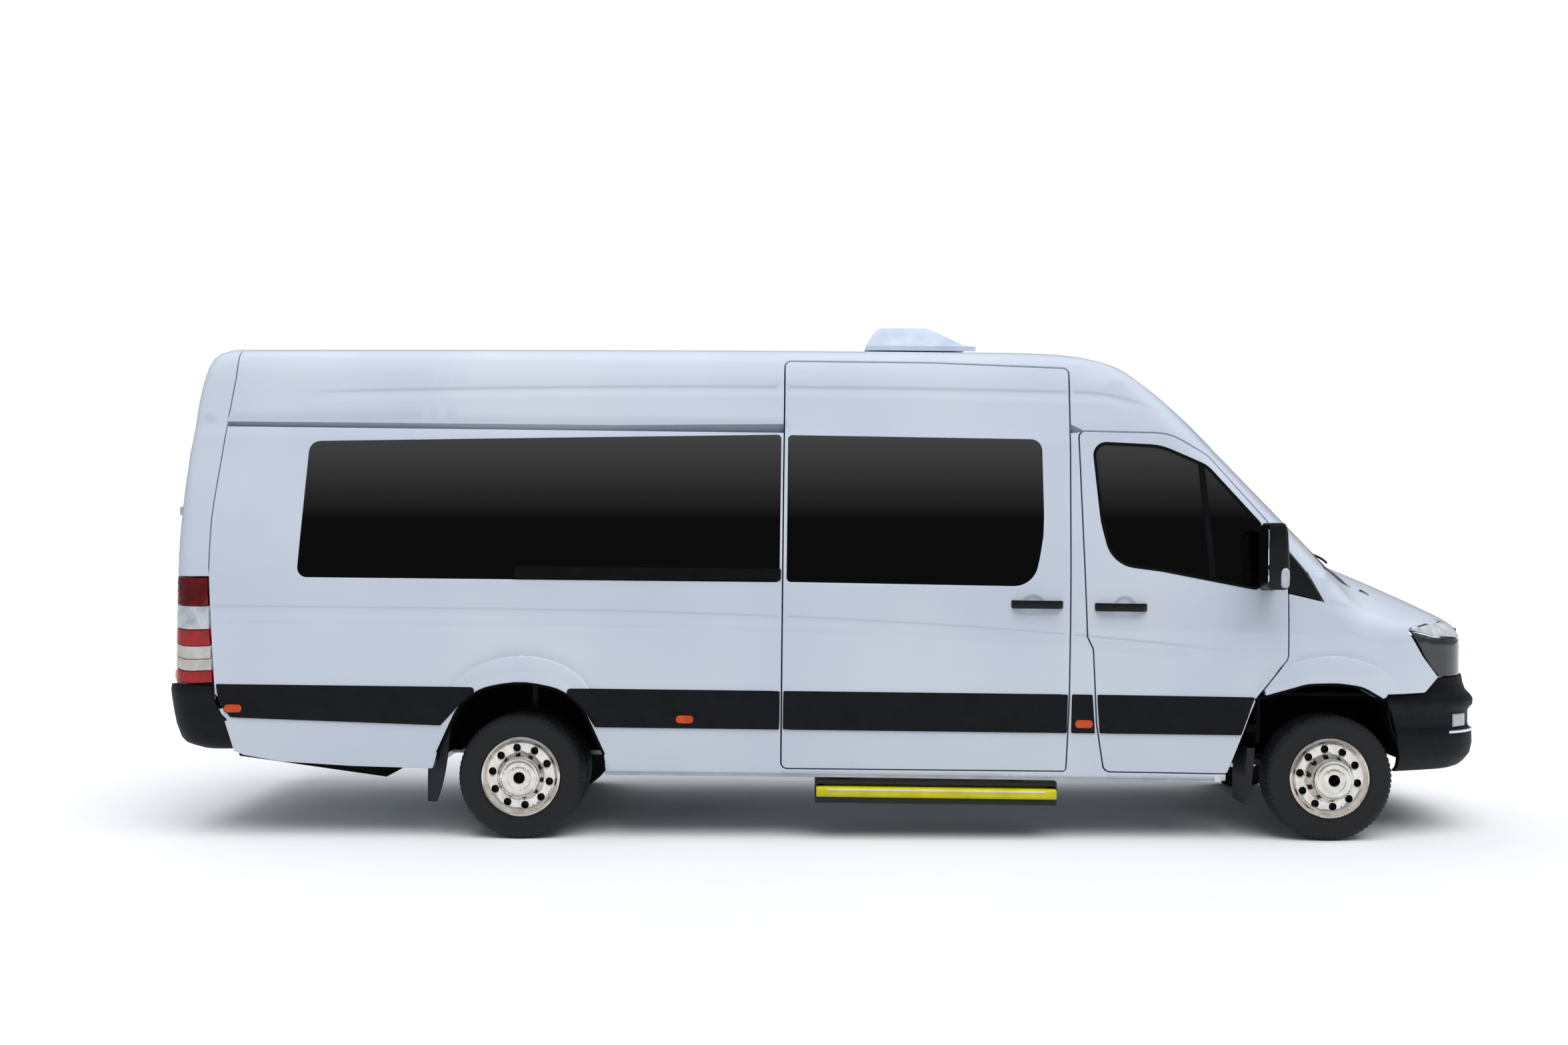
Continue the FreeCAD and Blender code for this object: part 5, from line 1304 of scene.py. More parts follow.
def lampSkins():
    # tail lamps in stacked zones, and headlamps with a pale upper part over a smoked one
    zones = [(806, 868, redLens), (872, 930, whiteLens), (934, 1000, whiteLens), (1004, 1088, redLens),
             (1092, 1214, clearLens), (1218, 1366, deepRedLens)]
    parts, kinds = [], []
    for low, high, kind in zones:
        heights = np.linspace(low, high, max(2, int((high - low) / 30)))
        seam = seenFrom("side", np.stack([np.interp(heights, [800, 1370, 1696],
                        [R(-1657), R(-1695), R(-1695)]) - 3, heights], axis=-1))
        edge = seenFrom("rear", np.stack([np.full_like(heights, -lampSide - 3), heights], axis=-1))
        top = traced(tailView, [seam[-1], (R(-1860), -960, high), edge[-1]], 25)[1:-1]
        foot = traced(tailView, [edge[0], (R(-1860), -960, low), seam[0]], 25)[1:-1]
        loop = thinned(np.concatenate([seam, top, edge[::-1], foot]), 4)
        skin = skinOf([loop], tailView, 30, 30, roll=3.0, level=1.5)
        parts.append(skin)
        kinds.append(kind)
    kinds = kinds + kinds
    skins = parts + [mirrorOf(part) for part in parts]
    palette = [redLens, whiteLens, clearLens, deepRedLens]
    slots = np.concatenate([np.full(len(skin["faces"]), palette.index(kind))
                            for skin, kind in zip(skins, kinds)])
    dress("tailLampLenses", together(skins), palette, slots=slots, nodes=["tail_lamps"])

    def across(points):
        # corners given as (x, z) lie on the side, those given as (x, y, z) are carried out to the nose
        corners = [seenFrom("side", np.array([c]))[0] if len(c) == 2 else np.array(c, float) for c in points]
        return thinned(traced(noseView, corners + corners[:1], 22)[:-1], 4)
    upper = across([(F(437), 1156), (F(585), 1177), (F(640), 1178), (F(700), -597, 1180),
                    (F(760), -546, 1172), (F(806), -494, 1153), (F(850), -476, 1145),
                    (F(860), -476, 1092), (F(790), -620, 1092), (F(600), 1118)])
    lower = across([(F(447), 1146), (F(600), 1112), (F(790), -620, 1086), (F(862), -476, 1086),
                    (F(868), -476, 900), (F(800), -640, 899), (F(640), 899), (F(590), 942), (F(538), 1011)])
    top, under = [skinOf([line], noseView, 6, 26, roll=3.0, level=1.5) for line in (upper, lower)]
    bowl = skinOf([lower], noseView, 5, 40, roll=1.0, level=-34.0)
    streaks = []
    for reach in (690, 735, 775, 812):
        streak = across([(F(reach) - 14, -(1000 - (reach - 500) * 1.13), 1070),
                         (F(reach), -(1000 - (reach - 500) * 1.18), 1070),
                         (F(reach) + 14, -(1000 - (reach - 500) * 1.18), 925),
                         (F(reach) - 2, -(1000 - (reach - 500) * 1.13), 925)])
        streaks.append(skinOf([streak], noseView, 10, 30, roll=4.0, level=-18.0))
    skins = [top, under, mirrorOf(top), mirrorOf(under)]
    slots = np.concatenate([np.full(len(skin["faces"]), k % 2) for k, skin in enumerate(skins)])
    dress("headlampBowls", together([bowl, mirrorOf(bowl)]), lampBezel)
    dress("headlampReflectors", together(streaks + [mirrorOf(one) for one in streaks]), chrome)
    dress("headlampLenses", together(skins), [clearLens, smokeLens], slots=slots, nodes=["headlamps"])


cladding()
lampSkins()
print("bands and lamps made")
# wheels and tyres
wheel = {
    "sidewall": abs(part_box("front_tyre_right")[0].y) * 1000, "tyreWidth": 195.0, "twinPitch": 225.0,
    "lip": 216.0, "holes": 10, "holeRadius": 20.0, "holeCircle": 155.0, "centreHole": 30.0,
    "frontCrown": 66.0, "rearCrown": 34.0,
    "rows": (40, 52, 59, 62, 65, 78, 88, 91, 93, 95, 98, *range(102, 131, 4), 155, *range(178, 207, 4), 209),
}       # rows: radii of the rows of points on the cover


def turnedSolid(profile, x, columns, sign=-1):
    # a closed profile of (radius, depth inboard of the sidewall) spun about the wheel's axis
    profile = np.asarray(profile, float)
    turn = np.arange(columns) / columns * 2 * math.pi
    radius, depth = profile[:, 0], profile[:, 1]
    points = vec(x + np.outer(np.cos(turn), radius), np.broadcast_to(sign * (wheel["sidewall"] - depth),
                 (columns, len(profile))), hubHeight + np.outer(np.sin(turn), radius)).reshape(-1, 3)
    area = np.sum(radius * np.roll(depth, -1) - np.roll(radius, -1) * depth)
    return points, gridFaces(columns, len(profile), True, True, flip=(area > 0) == (sign < 0))


def tyreProfile(offset):
    # sidewall with a rim guard and a scuff rib, then a tread with four grooves, mirrored at the middle
    half = wheel["tyreWidth"] / 2
    side = [(203, 15), (212, 9), (218, 5), (228, 1.2), (236, 1.5), (241, 3.0), (256, 1.5), (275, 1.0),
            (292, 2.2), (297, 1.0), (303, 1.6), (312, 5), (321, 10), (328, 16), (333, 23), (334.6, 30)]
    tread = []
    for centre in (53.0, 82.0):
        tread += [(335, centre - 5.2), (334.4, centre - 4.2), (327.5, centre - 3.0), (327.5, centre + 3.0),
                  (334.4, centre + 4.2), (335, centre + 5.2)]
    outer = side + tread
    inner = [(r, 2 * half - y) for r, y in reversed(outer)]
    return np.array(outer + inner) + (0, offset)


def tyre(x, offset, sign):
    # shoulder blocks: the outer tread rows dip between blocks
    profile = tyreProfile(offset)
    columns = 288
    points, faces = turnedSolid(profile, x, columns, sign)
    points = points.reshape(columns, len(profile), 3)
    y = profile[:, 1] - offset
    shoulder = (profile[:, 0] > 318) & ((y < 46) | (y > wheel["tyreWidth"] - 46))
    notch = (np.arange(columns) % 4 == 0).astype(float)[:, None] * shoulder[None]
    middle = np.array((x, 0, hubHeight))
    radial = points - middle
    radial[..., 1] = 0
    points = points - unit(radial) * notch[..., None] * 6.0
    return points.reshape(-1, 3), faces


def joined(parts):
    points, faces, slots, shift = [], [], [], 0
    for (one, some), slot in parts:
        points.append(one)
        faces += [[i + shift for i in face] for face in some]
        slots += [slot] * len(some)
        shift += len(one)
    return np.concatenate(points), faces, slots


def coverForm(x, crown):
    # height of the pressed cover over the sidewall's plane, by radius
    def form(p):
        r = np.hypot(p[..., 0] - x, p[..., 2] - hubHeight)
        floor = -26.0
        high = floor + (crown - floor) * (1 - ease((r - 102) / 28)) + (3 - floor) * ease((r - 178) / 28)
        high = high - 3.5 * np.exp(-((r - 93) / 2.6) ** 2)
        high = high - 3 * np.exp(-((r - 62) / 2.2) ** 2) - 10 * ease((r - 207) / 12)
        return -p[..., 1] - wheel["sidewall"] - high
    return form


def ringLoop(x, z, radius, count, form):
    turn = np.arange(count) / count * 2 * math.pi
    zero = np.zeros(count)
    start = vec(x + radius * np.cos(turn), zero - wheel["sidewall"] + 300, z + radius * np.sin(turn))
    return meet(form, start, np.broadcast_to((0, -1.0, 0), start.shape), 0.0, 600)


def wheelCover(x, crown):
    form = coverForm(x, crown)
    loops = [ringLoop(x, hubHeight, wheel["lip"], 96, form),
             ringLoop(x, hubHeight, wheel["centreHole"], 36, form)]
    for k in range(wheel["holes"]):
        turn = math.radians(360 / wheel["holes"] * k - 10)
        across, up = wheel["holeCircle"] * math.cos(turn), wheel["holeCircle"] * math.sin(turn)
        loops.append(ringLoop(x + across, hubHeight + up, wheel["holeRadius"], 26, form))
    rows = np.concatenate([ringLoop(x, hubHeight, r, int(6.28 * r / 13), form) for r in wheel["rows"]])
    laying = straight((0, -1, 0), (0, -wheel["sidewall"] + 300, 0))
    return skinOf(loops, laying, 5.0, 15, [rows], roll=2.5, form=form, back=form)


# profiles spun about the axle, as radius and depth inboard of the sidewall
barrelFront = [(199, 14), (213, 3), (214, 14), (200, 16), (199, 60), (187, 76), (187, 135), (199, 150),
               (199, 180), (214, 181), (213, 190), (189, 189), (179, 135), (176, 76), (186, 40), (190, 16)]
barrelInner = [(199, 14), (214, 3), (214, 14), (200, 16), (199, 180), (214, 181), (213, 190), (189, 189),
               (180, 120), (60, 110), (60, 90), (184, 96), (190, 16)]
drum = [(0.5, 48), (60, 48), (70, 62), (172, 66), (172, 128), (0.5, 128)]
hubEnd = [(0.5, -18), (20, -18), (26, -10), (28, 48), (0.5, 48)]


def wheelSet(name, node, body, x, sign, crown, rear=False):
    cover = wheelCover(x, crown)
    if sign > 0:
        cover = mirrorOf(cover)
    parts = [((cover["points"], cover["faces"]), 0), (turnedSolid(barrelFront, x, 96, sign), 0),
             (turnedSolid(drum, x, 64, sign), 1), (turnedSolid(hubEnd, x, 32, sign), 2)]
    if rear:
        inner = np.array(barrelInner) + (0, wheel["twinPitch"])
        parts.append((turnedSolid(inner, x, 72, sign), 1))
        parts.append((turnedSolid([(34.5, 100), (70, 100), (70, 330), (34.5, 330)], x, 48, sign), 1))
    points, faces, slots = joined(parts)
    piece = makeMesh(name, points, faces, [polished, chassisPaint, linerPlastic], body, level=True,
                     slots=slots, turn=35)
    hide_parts(node)


for sign, side in ((-1, "right"), (1, "left")):
    wheelSet("wheelFront" + side.capitalize(), "front_wheel_" + side, "wheel_front_" + side, frontAxle, sign,
             wheel["frontCrown"])
    wheelSet("wheelsRear" + side.capitalize(), "rear_wheels_" + side, "wheels_rear_" + side, rearAxle, sign,
             wheel["rearCrown"], True)
    twin = joined([(tyre(rearAxle, 0, sign), 0), (tyre(rearAxle, wheel["twinPitch"], sign), 0)])[:2]
    for name, node, body, (points, faces) in (
            ("tyreFront", "front_tyre_", "wheel_front_", tyre(frontAxle, 0, sign)),
            ("tyresRear", "rear_tyres_", "wheels_rear_", twin)):
        piece = makeMesh(name + side.capitalize(), points, faces, rubber, body + side, level=True, turn=35)
        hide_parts(node + side)
print("wheels made")
# outside fittings


def lofted(name, sections, materials, body="body", turn=40, nodes=()):
    # closed sections of equal count, joined in order and capped
    rows, columns = len(sections), len(sections[0])
    faces = capped(gridFaces(rows, columns, False, True), rows, columns)
    points = np.concatenate(sections)
    middle = points.mean(axis=0)
    a, b, c = (points[[face[k] for face in faces[:columns]]] for k in range(3))
    flow = np.sum(np.cross(b - a, c - a) * (a - middle))
    if flow < 0:
        faces = [face[::-1] for face in faces]
    piece = makeMesh(name, points, faces, materials, body, turn=turn)
    if nodes:
        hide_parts(*nodes)
    return piece


def oblong(x0, x1, z0, z1, radius):     # corners of an upright rectangle with one corner radius
    return [(x0, z0, radius), (x1, z0, radius), (x1, z1, radius), (x0, z1, radius)]


def patch(corners, *least):             # a closed outline on the right side, close points left out
    return thinned(onSide(rounded(corners)), *least)


mirror = {
    "x": F(-352), "z": 1548, "high": 348, "thick": 116, "in": halfWidth + 26, "out": halfWidth + 243,
    "sections": [(0, 0.72), (0.012, 0.86), (0.05, 0.95), (0.12, 0.99), (0.3, 1.0), (0.6, 1.0),
                 (0.85, 0.97), (0.94, 0.9), (0.985, 0.8), (1.0, 0.66)],     # share of the height, size there
    "arm": [(-16, 118, 92, 0), (-6, 112, 86, 2), (12, 84, 62, 8), (40, 78, 56, 14)],
    "glasses": {"Upper": (1592, 196), "Lower": (1448, 78)},                 # middle height and height
    "indicator": [(1386, 12), (1392, 19), (1402, 23), (1440, 25), (1470, 23), (1482, 17), (1488, 9)],
}       # arm: out from the body's side, height, depth and rise. indicator: height and half width


def sideMirror(sign, side):
    # upright mirror head on a short arm, with two glasses and a clear indicator
    body, across = "door_front_" + side, sign * (mirror["in"] + mirror["out"]) / 2
    front, thick = mirror["x"] - mirror["thick"] / 2, mirror["thick"]
    sections = []
    for t, k in mirror["sections"]:
        wide, deep = (mirror["out"] - mirror["in"]) * k, thick * k * (1 - 0.12 * t)
        ring = roundProfile(deep, wide, min(deep, wide) * 0.36, 5)
        sections.append(vec(front + thick * (1 - k) * 0.4 + deep / 2 + ring[:, 0], across + ring[:, 1],
                            mirror["z"] - mirror["high"] / 2 + mirror["high"] * t))
    lofted("mirrorHead" + side.capitalize(), sections, smoothBlack, body, nodes=["mirror_" + side])
    arm = []
    for reach, high, deep, lift in mirror["arm"]:
        ring = roundProfile(deep, high, 22, 4)
        arm.append(vec(mirror["x"] + 8 + ring[:, 0], sign * (halfWidth + reach), 1422 + lift + ring[:, 1]))
    lofted("mirrorArm" + side.capitalize(), arm, smoothBlack, body)
    for name, (z, high) in mirror["glasses"].items():
        ring = roundProfile(166, high, 18, 5)
        plates = [vec(front + off, across + ring[:, 0], z + ring[:, 1]) for off in (-1.5, 4)]
        lofted("mirrorGlass" + name + side.capitalize(), plates, mirrorGlass, body)
    rows = []
    for z, half in mirror["indicator"]:
        ring = roundProfile(2 * half, 24, min(half, 11) * 0.8, 4)
        rows.append(vec(mirror["x"] + 22 + ring[:, 0], sign * (mirror["out"] - 10) + ring[:, 1] * sign, z))
    lofted("mirrorIndicator" + side.capitalize(), rows, clearLens, body)


handles = {             # both ends, height, body and side
    "slidingDoorHandle": (937, 1200, 1274, "body", -1),
    "frontDoorHandleRight": (1382, 1647, 1264, "door_front_right", -1),
    "frontDoorHandleLeft": (1382, 1647, 1264, "door_front_left", 1),
}


def doorHandles():
    # bar handles, their ends sunk in the panels
    for name, (x0, x1, z, body, sign) in handles.items():
        x = np.concatenate([np.linspace(x0, x0 + 30, 8), np.linspace(x0 + 40, x1 - 40, 12),
                            np.linspace(x1 - 30, x1, 8)])
        level = -6 + 34 * np.sqrt(np.clip(np.minimum(x - x0, x1 - x) / 34, 0, 1))
        start = vec(x, 0, z)
        path = meet(innerForm, start, np.broadcast_to((0, -1.0, 0), start.shape), level) * (1, -sign, 1)
        solidAlong(name, path, roundProfile(17, 44, 8, 4), smoothBlack, body, turn=40)


def doorTrim():
    # window rubbers, the upright divider, and the black corner ahead of each front door
    ring = skinOf([thinned(onSide(widened(doorWindow, by))) for by in (13, -3)], rightSide, 7, 40, roll=3.0,
                  level=2.5, back=bodyForm)
    post = skinOf([patch([(1936, 2052, 4), (1972, 2016, 4), (2021, 1424, 4), (1985, 1432, 4)], 3)],
                  rightSide, 6, 40, roll=2.0, level=1.5, back=bodyForm)
    corner = skinOf([patch([(2409, 1568, 6), (2499, 1452, 8), (2588, 1310, 8), (2409, 1352, 6)])],
                    noseView, 18, 30, roll=4.0, level=1.0)
    pane = skinOf([thinned(onSide(doorWindow))], rightSide, 4.5, 60, roll=2.0, level=-2.0, back=bodyForm)
    for side, turned in (("Right", lambda skin: skin), ("Left", mirrorOf)):
        body = "door_front_" + side.lower()
        dress("doorWindowRubber" + side, together([turned(ring), turned(post)]), sealRubber, body)
        dress("doorPane" + side, turned(pane), darkGlass, body, nodes=["front_door_glass_" + side.lower()])
        dress("mirrorCorner" + side, turned(corner), smoothBlack)


lampSpots = {"places": ((R(-1545), 669), (R(881), 639), (F(-1315), 640)), "half": (48, 22), "corner": 20}
beacon = {"x": (R(-1746), R(-1590)), "half": 60, "corner": 25}


def markersAndBeacon():
    lenses, bases = [], []
    wide, high = lampSpots["half"]
    for x, z in lampSpots["places"]:
        spot = rounded(oblong(x - wide, x + wide, z - high, z + high, lampSpots["corner"]), 15)
        lens = skinOf([thinned(onSide(spot), 3)], rightSide, 14, 14, roll=6.0, level=16.0, back=bodyForm)
        base = skinOf([thinned(onSide(widened(spot, 3)), 3)], rightSide, 12, 30, roll=2.0, level=11.0,
                      back=bodyForm)
        lenses += [lens, mirrorOf(lens)]
        bases += [base, mirrorOf(base)]
    plan = rounded(oblong(*beacon["x"], -beacon["half"], beacon["half"], beacon["corner"]), 20)
    lenses.append(skinOf([thinned(seenFrom("top", plan), 4)], topDown, 30, 22, roll=16.0, level=44.0,
                         back=bodyForm))
    dress("amberLenses", together(lenses), amberLens, nodes=["marker_lamps"])
    dress("amberBases", together(bases), sealRubber)


step = {
    "x": (-102, 1184), "outer": -halfWidth + 12, "z": (232, 286), "tread": (330, 40), "bar": (76, 52),
    "ribs": 9, "ribPitch": 30,
}


def stepPieces():
    # sliding side step: black tread, yellow front bar with a white strip and round end caps
    x0, x1 = step["x"]
    y, high = step["outer"], step["z"][1]
    middle = sum(step["z"]) / 2

    def lengthwise(ring, inset):
        return [vec(x, ring[:, 0], ring[:, 1]) for x in (x0 + inset, x1 - inset)]
    tread = roundProfile(*step["tread"], 5, 3) + (y + 255, middle)
    lofted("stepTread", lengthwise(tread, 20), blackCoat, "step_tread", nodes=["step_tread"])
    centre = np.array((y + 32, middle))
    bar = roundProfile(*step["bar"], 12, 4)
    caps = [(x0 + 2, 0.82), (x0 + 5, 0.94), (x0 + 10, 1.0), (x1 - 10, 1.0), (x1 - 5, 0.94), (x1 - 2, 0.82)]
    lofted("stepBar", [vec(x, *(bar * k + centre).T) for x, k in caps], yellowCoat, "step_tread")
    strip = roundProfile(3, 9, 1.2, 2) + (y - 6, high - 13)
    lofted("stepStrip", lengthwise(strip, 60), whiteTape, "step_tread")
    ribs = []
    for k in range(step["ribs"]):
        rib = roundProfile(7, 4, 1.5, 2) + (y + 95 + step["ribPitch"] * k, high - 6)
        faces = capped(gridFaces(2, len(rib), False, True), 2, len(rib))
        ribs.append(((np.concatenate(lengthwise(rib, 40)), [face[::-1] for face in faces]), 0))
    points, faces, _ = joined(ribs)
    makeMesh("stepRibs", points, faces, yellowCoat, "step_tread", turn=40)


sill = {"x": (-1235, 2062), "in": 46, "z": 340, "bracketX": 2040}


def sillRails():
    x = np.linspace(*sill["x"], 40)
    box = roundProfile(34, 26, 5, 3)
    for sign, side in ((-1, "Right"), (1, "Left")):
        path = vec(x, sign * (halfWidth - sill["in"]), sill["z"] + 2.0 * np.cos(x / 900))
        solidAlong("sillRail" + side, path, roundProfile(22, 16, 7.5, 4), sillAluminium, turn=40)
        ends = [vec(sill["bracketX"] + box[:, 0], sign * y, 352 + box[:, 1]) for y in (938, 962)]
        lofted("sillBracket" + side, ends, whiteTape)


for sign, side in ((-1, "right"), (1, "left")):
    sideMirror(sign, side)
doorHandles()
doorTrim()
markersAndBeacon()
stepPieces()
sillRails()
print("fittings made")
# bumpers, liners, rear doors and small trim


def aroundUpright(x0, sign, scale=1000):
    # rays square to an upright line: the angle off the X axis and the height
    def flat(p):
        turn = np.arctan2(sign * p[:, 1], sign * (p[:, 0] - x0))
        return np.stack([scale * turn, p[:, 2]], axis=-1)

    def rays(ab):
        zero = np.zeros(len(ab))
        turn = ab[:, 0] / scale
        return vec(zero + x0, zero, ab[:, 1]), vec(sign * np.cos(turn), sign * np.sin(turn), zero)
    return flat, rays


frontBumper = {
    "tip": F(994), "bow": 1990, "wall": 30,
    "heights": [382, 398, 420, 445, 466, 520, 588, 600, 616, 706, 720, 734, 764, 784, 806, 830, 893],
    "reach": [-96, -66, -44, -26, -13, -3, -5, -10, -25, -25, -12, -1, 0, -12, -34, -48, -58]}
rearBumper = {
    "tip": R(-1954), "bow": 16000, "wall": 26,
    "heights": [424, 446, 466, 495, 571, 650, 726, 760, 794],
    "reach": [-150, -102, -66, -46, -24, -12, -3, 0, -4]}


def frontBumperForm(p):    # a straight side and a wide bow in plan, blended, and pulled in by height
    x, y, z = p[..., 0], np.abs(p[..., 1]), p[..., 2]
    side = ((x - F(200)) * 261 + (y - 992) * 662) / 712
    bow = np.hypot(y, x - frontBumper["tip"] + frontBumper["bow"]) - frontBumper["bow"]
    return smoothMax(side, bow, 136) - np.interp(z, frontBumper["heights"], frontBumper["reach"])


def rearBumperForm(p):
    x, y, z = p[..., 0], np.abs(p[..., 1]), p[..., 2]
    bow = np.hypot(y, x - rearBumper["tip"] - rearBumper["bow"]) - rearBumper["bow"]
    return smoothMax(y - 992, bow, 190) - np.interp(z, rearBumper["heights"], rearBumper["reach"])


def bumperSkin(name, form, laying, half, heights, sweep, node, wall):
    # half: right-hand corners from the middle round to the middle; rows of points keep the ledges crisp
    flat, rays = laying
    corners = [np.array(c, float) for c in half]
    line = []
    for one, two in zip(corners[:-1], corners[1:]):
        n = max(1, int(np.linalg.norm(two - one) / 28))
        line += [one + (two - one) * k / n for k in range(n)]
    line.append(corners[-1])
    right = meet(form, *rays(flat(np.array(line))), 0.0)
    turns = np.radians(np.arange(-sweep, sweep + 0.1, 2.2)) * 1000
    a, z = np.meshgrid(turns, heights[1:-1])
    rows = meet(form, *rays(np.stack([a.ravel(), z.ravel()], axis=-1)), 0.0)
    skin = skinOf([bothSides(right)], laying, wall, 30, [rows], roll=5.0, form=form, back=form)
    dress(name, skin, charcoalPlastic, nodes=[node])


def bumpers():
    # front and rear bumpers as bowed plastic mouldings with a ledge and a turned-in foot
    bumperSkin("frontBumperMoulding", frontBumperForm, aroundUpright(F(200), 1), [
        (F(954), 0, 382), (F(840), -700, 382), (F(410), -900, 382), (F(360), -930, 560), (F(322), -950, 720),
        (F(301), -960, 808), (F(545), -880, 812), (F(592), -840, 846), (F(634), -820, 889),
        (F(850), -700, 893), (F(954), 0, 893)],
        frontBumper["heights"], 76, "front_bumper", frontBumper["wall"])
    bumperSkin("rearBumperMoulding", rearBumperForm, aroundUpright(R(-1300), -1), [
        (R(-1952), 0, 428), (R(-1900), -880, 428), (R(-1546), -990, 437), (R(-1562), -990, 535),
        (R(-1585), -990, 612), (R(-1618), -990, 640), (R(-1650), -990, 720), (R(-1652), -990, 790),
        (R(-1890), -960, 790), (R(-1915), -886, 790), (R(-1925), -882, 590), (R(-1950), 0, 586)],
        rearBumper["heights"], 66, "rear_bumper", rearBumper["wall"])
    # lower grille bars, bright strips and lamps, along a fan of rays from an upright line ahead of the axle
    def onBumper(low, high, count, sign, z, level):
        turns = sign * np.radians(np.linspace(low, high, count))
        start = vec(F(200) + 0 * turns, 0, z)
        return meet(frontBumperForm, start, vec(np.cos(turns), np.sin(turns), 0), level)
    for k, z in enumerate((452, 488, 524)):
        solidAlong("lowerGrilleBar%d" % k, onBumper(-29, 29, 40, 1, z + 6.0, 1.0),
                   roundProfile(8, 20, 3.5, 3), linerPlastic, turn=40)
    for sign, side in ((-1, "Right"), (1, "Left")):
        solidAlong("bumperStrip" + side, onBumper(40, 58, 24, sign, 597.0, 2.0), roundProfile(9, 17, 4, 4),
                   chrome, turn=40)
        solidAlong("bumperLamp" + side, onBumper(48, 55, 8, sign, 655.0, -1.0), roundProfile(18, 70, 8, 5),
                   clearLens, turn=40)


liners = {              # the arch's line in side view, the wall's and the face's distance out, and the foot
    "rear": ([(R(-452), 400, 0), (R(-440), 470, 100), (R(-326), 712, 250), (R(-211), 800, 250),
              (R(0), 843, 500), (R(211), 800, 250), (R(326), 712, 250), (R(440), 470, 100),
              (R(452), 400, 0)], 505, 955, 400),
    "front": ([(F(-540), 400, 0), (F(-420), 782, 90), (F(-130), 872, 250), (F(30), 878, 500),
               (F(165), 862, 200), (F(308), 790, 120), (F(352), 620, 120), (F(372), 470, 0)],
              470, 935, 520),
}


def archLiners():
    # black wheel-house liners: a strip that follows the arch and a wall behind the wheel
    for name, (line, wallIn, faceOut, foot) in liners.items():
        line = np.asarray(rounded(line, 40, closed=False))
        inner = np.concatenate([line, [(line[-1][0], foot), (line[0][0], foot)]])
        away = unit(line - line.mean(axis=0) + (0, 200))
        rows = [(faceOut, 0.0), (wallIn + 60, 0.0), (wallIn + 18, 4.0), (wallIn, 22.0), (wallIn - 3, 22.0),
                (wallIn + 14, -2.0), (wallIn + 60, -4.0), (faceOut, -4.0)]
        for sign, side in ((-1, "Right"), (1, "Left")):
            points = []
            for depth, shrink in rows:
                at = line - away * shrink
                points.append(vec(at[:, 0], sign * depth, at[:, 1]))
            stack = np.stack(points, axis=1)
            faces = capped(gridFaces(len(line), len(rows), False, True), len(line), len(rows))
            if sign < 0:
                faces = [face[::-1] for face in faces]
            makeMesh(name + "Liner" + side, stack.reshape(-1, 3), faces, linerPlastic, turn=40)
            plate = [vec(inner[:, 0], sign * y, inner[:, 1]) for y in (wallIn + 4, wallIn)]
            lofted(name + "HouseWall" + side, plate, linerPlastic, turn=30)
    # moulded lip round each opening
    for name, line in (("rear", rearArch), ("front", frontArch[1:])):
        line = seenFrom("side", rounded(line, 24, closed=False))
        for sign, side in ((-1, "Right"), (1, "Left")):
            path = line * (1, -sign, 1) + (0, -sign * 4.0, 0)
            solidAlong(name + "ArchLip" + side, path, roundProfile(14, 22, 6, 3), linerPlastic, up=(0, 1, 0),
                       turn=40)


mudflap = {             # station, outer and inner edge, top, foot, and the side flange's width
    "rear": (R(-500), 905, 700, 610, 170, 110), "front": (F(-440), 950, 700, 520, 214, 42),
}


def flaps():
    # rubber mudflaps: a bowed plate with a side flange that narrows to the foot
    t = np.linspace(0, 1, 14)
    for sign, side in ((-1, "Right"), (1, "Left")):
        for name, (x, out, inn, top, low, flange) in mudflap.items():
            edge = (out - inn) / 2
            section = np.array([(0, -edge), (flange * 0.5, -edge), (flange, -edge), (flange, -edge + 8),
                                (9, -edge + 12), (9, edge), (0, edge)], float)
            rows = []
            for height, lean in zip(top + (low - top) * t, 10 * np.sin(t * 2.2)):
                k = 1 - 0.55 * ((top - height) / (top - low)) ** 3
                reach = np.where(section[:, 0] > 10, section[:, 0] * k, section[:, 0])
                rows.append(vec(x - lean + reach, sign * (inn + edge - section[:, 1]), height))
            lofted(name + "Flap" + side, rows, flapRubber, turn=35,
                   nodes=["mudflaps"] if (sign, name) == (-1, "rear") else [])


rail = {
    "rail": [(-1735, 1383, 6), (-300, 1387, 6), (-300, 1449, 6), (-1728, 1449, 6)],
    "groove": [(-1715, 1408, 4), (-306, 1410, 4), (-306, 1424, 4), (-1715, 1424, 4)],
    "tray": [(R(-1545), 400, 10), (R(-740), 296, 10), (R(-660), 340, 10), (R(-660), 400, 5),
             (R(-1545), 450, 5)],
}


def railAndTrays():
    # guide rail of the sliding door, and the trays under the rear sides
    dress("guideRail", skinOf([patch(rail["rail"])], rightSide, 10, 40, roll=3.0, level=7.0, back=bodyForm),
          sealRubber)
    dress("guideRailLip", skinOf([patch(rail["groove"])], rightSide, 4, 60, roll=1.5, level=10.0,
                                 back=bodyForm), sealRubber)
    side = rounded(rail["tray"], 60)
    for sign, name in ((-1, "Right"), (1, "Left")):
        plates = [vec(side[:, 0], sign * y, side[:, 1]) for y in (880, 760)]
        lofted("rearUnderTray" + name, plates, linerPlastic, turn=35)


rearDoor = {
    "window": [(-75, 1400, 50), (-75, 2105, 50), (-705, 2085, 90), (-800, 1400, 50)],
    "hinges": (1725, 837), "hinge": [(-868, 46, 22), (-846, 48, 22), (-800, 40, 16), (-770, 26, 8)],
    "handle": (1130, 1250), "lampBar": (30, 560, 1010, 1060, 12), "plate": (40, 550, 872, 990, 10),
}       # hinge: distance across, height and depth


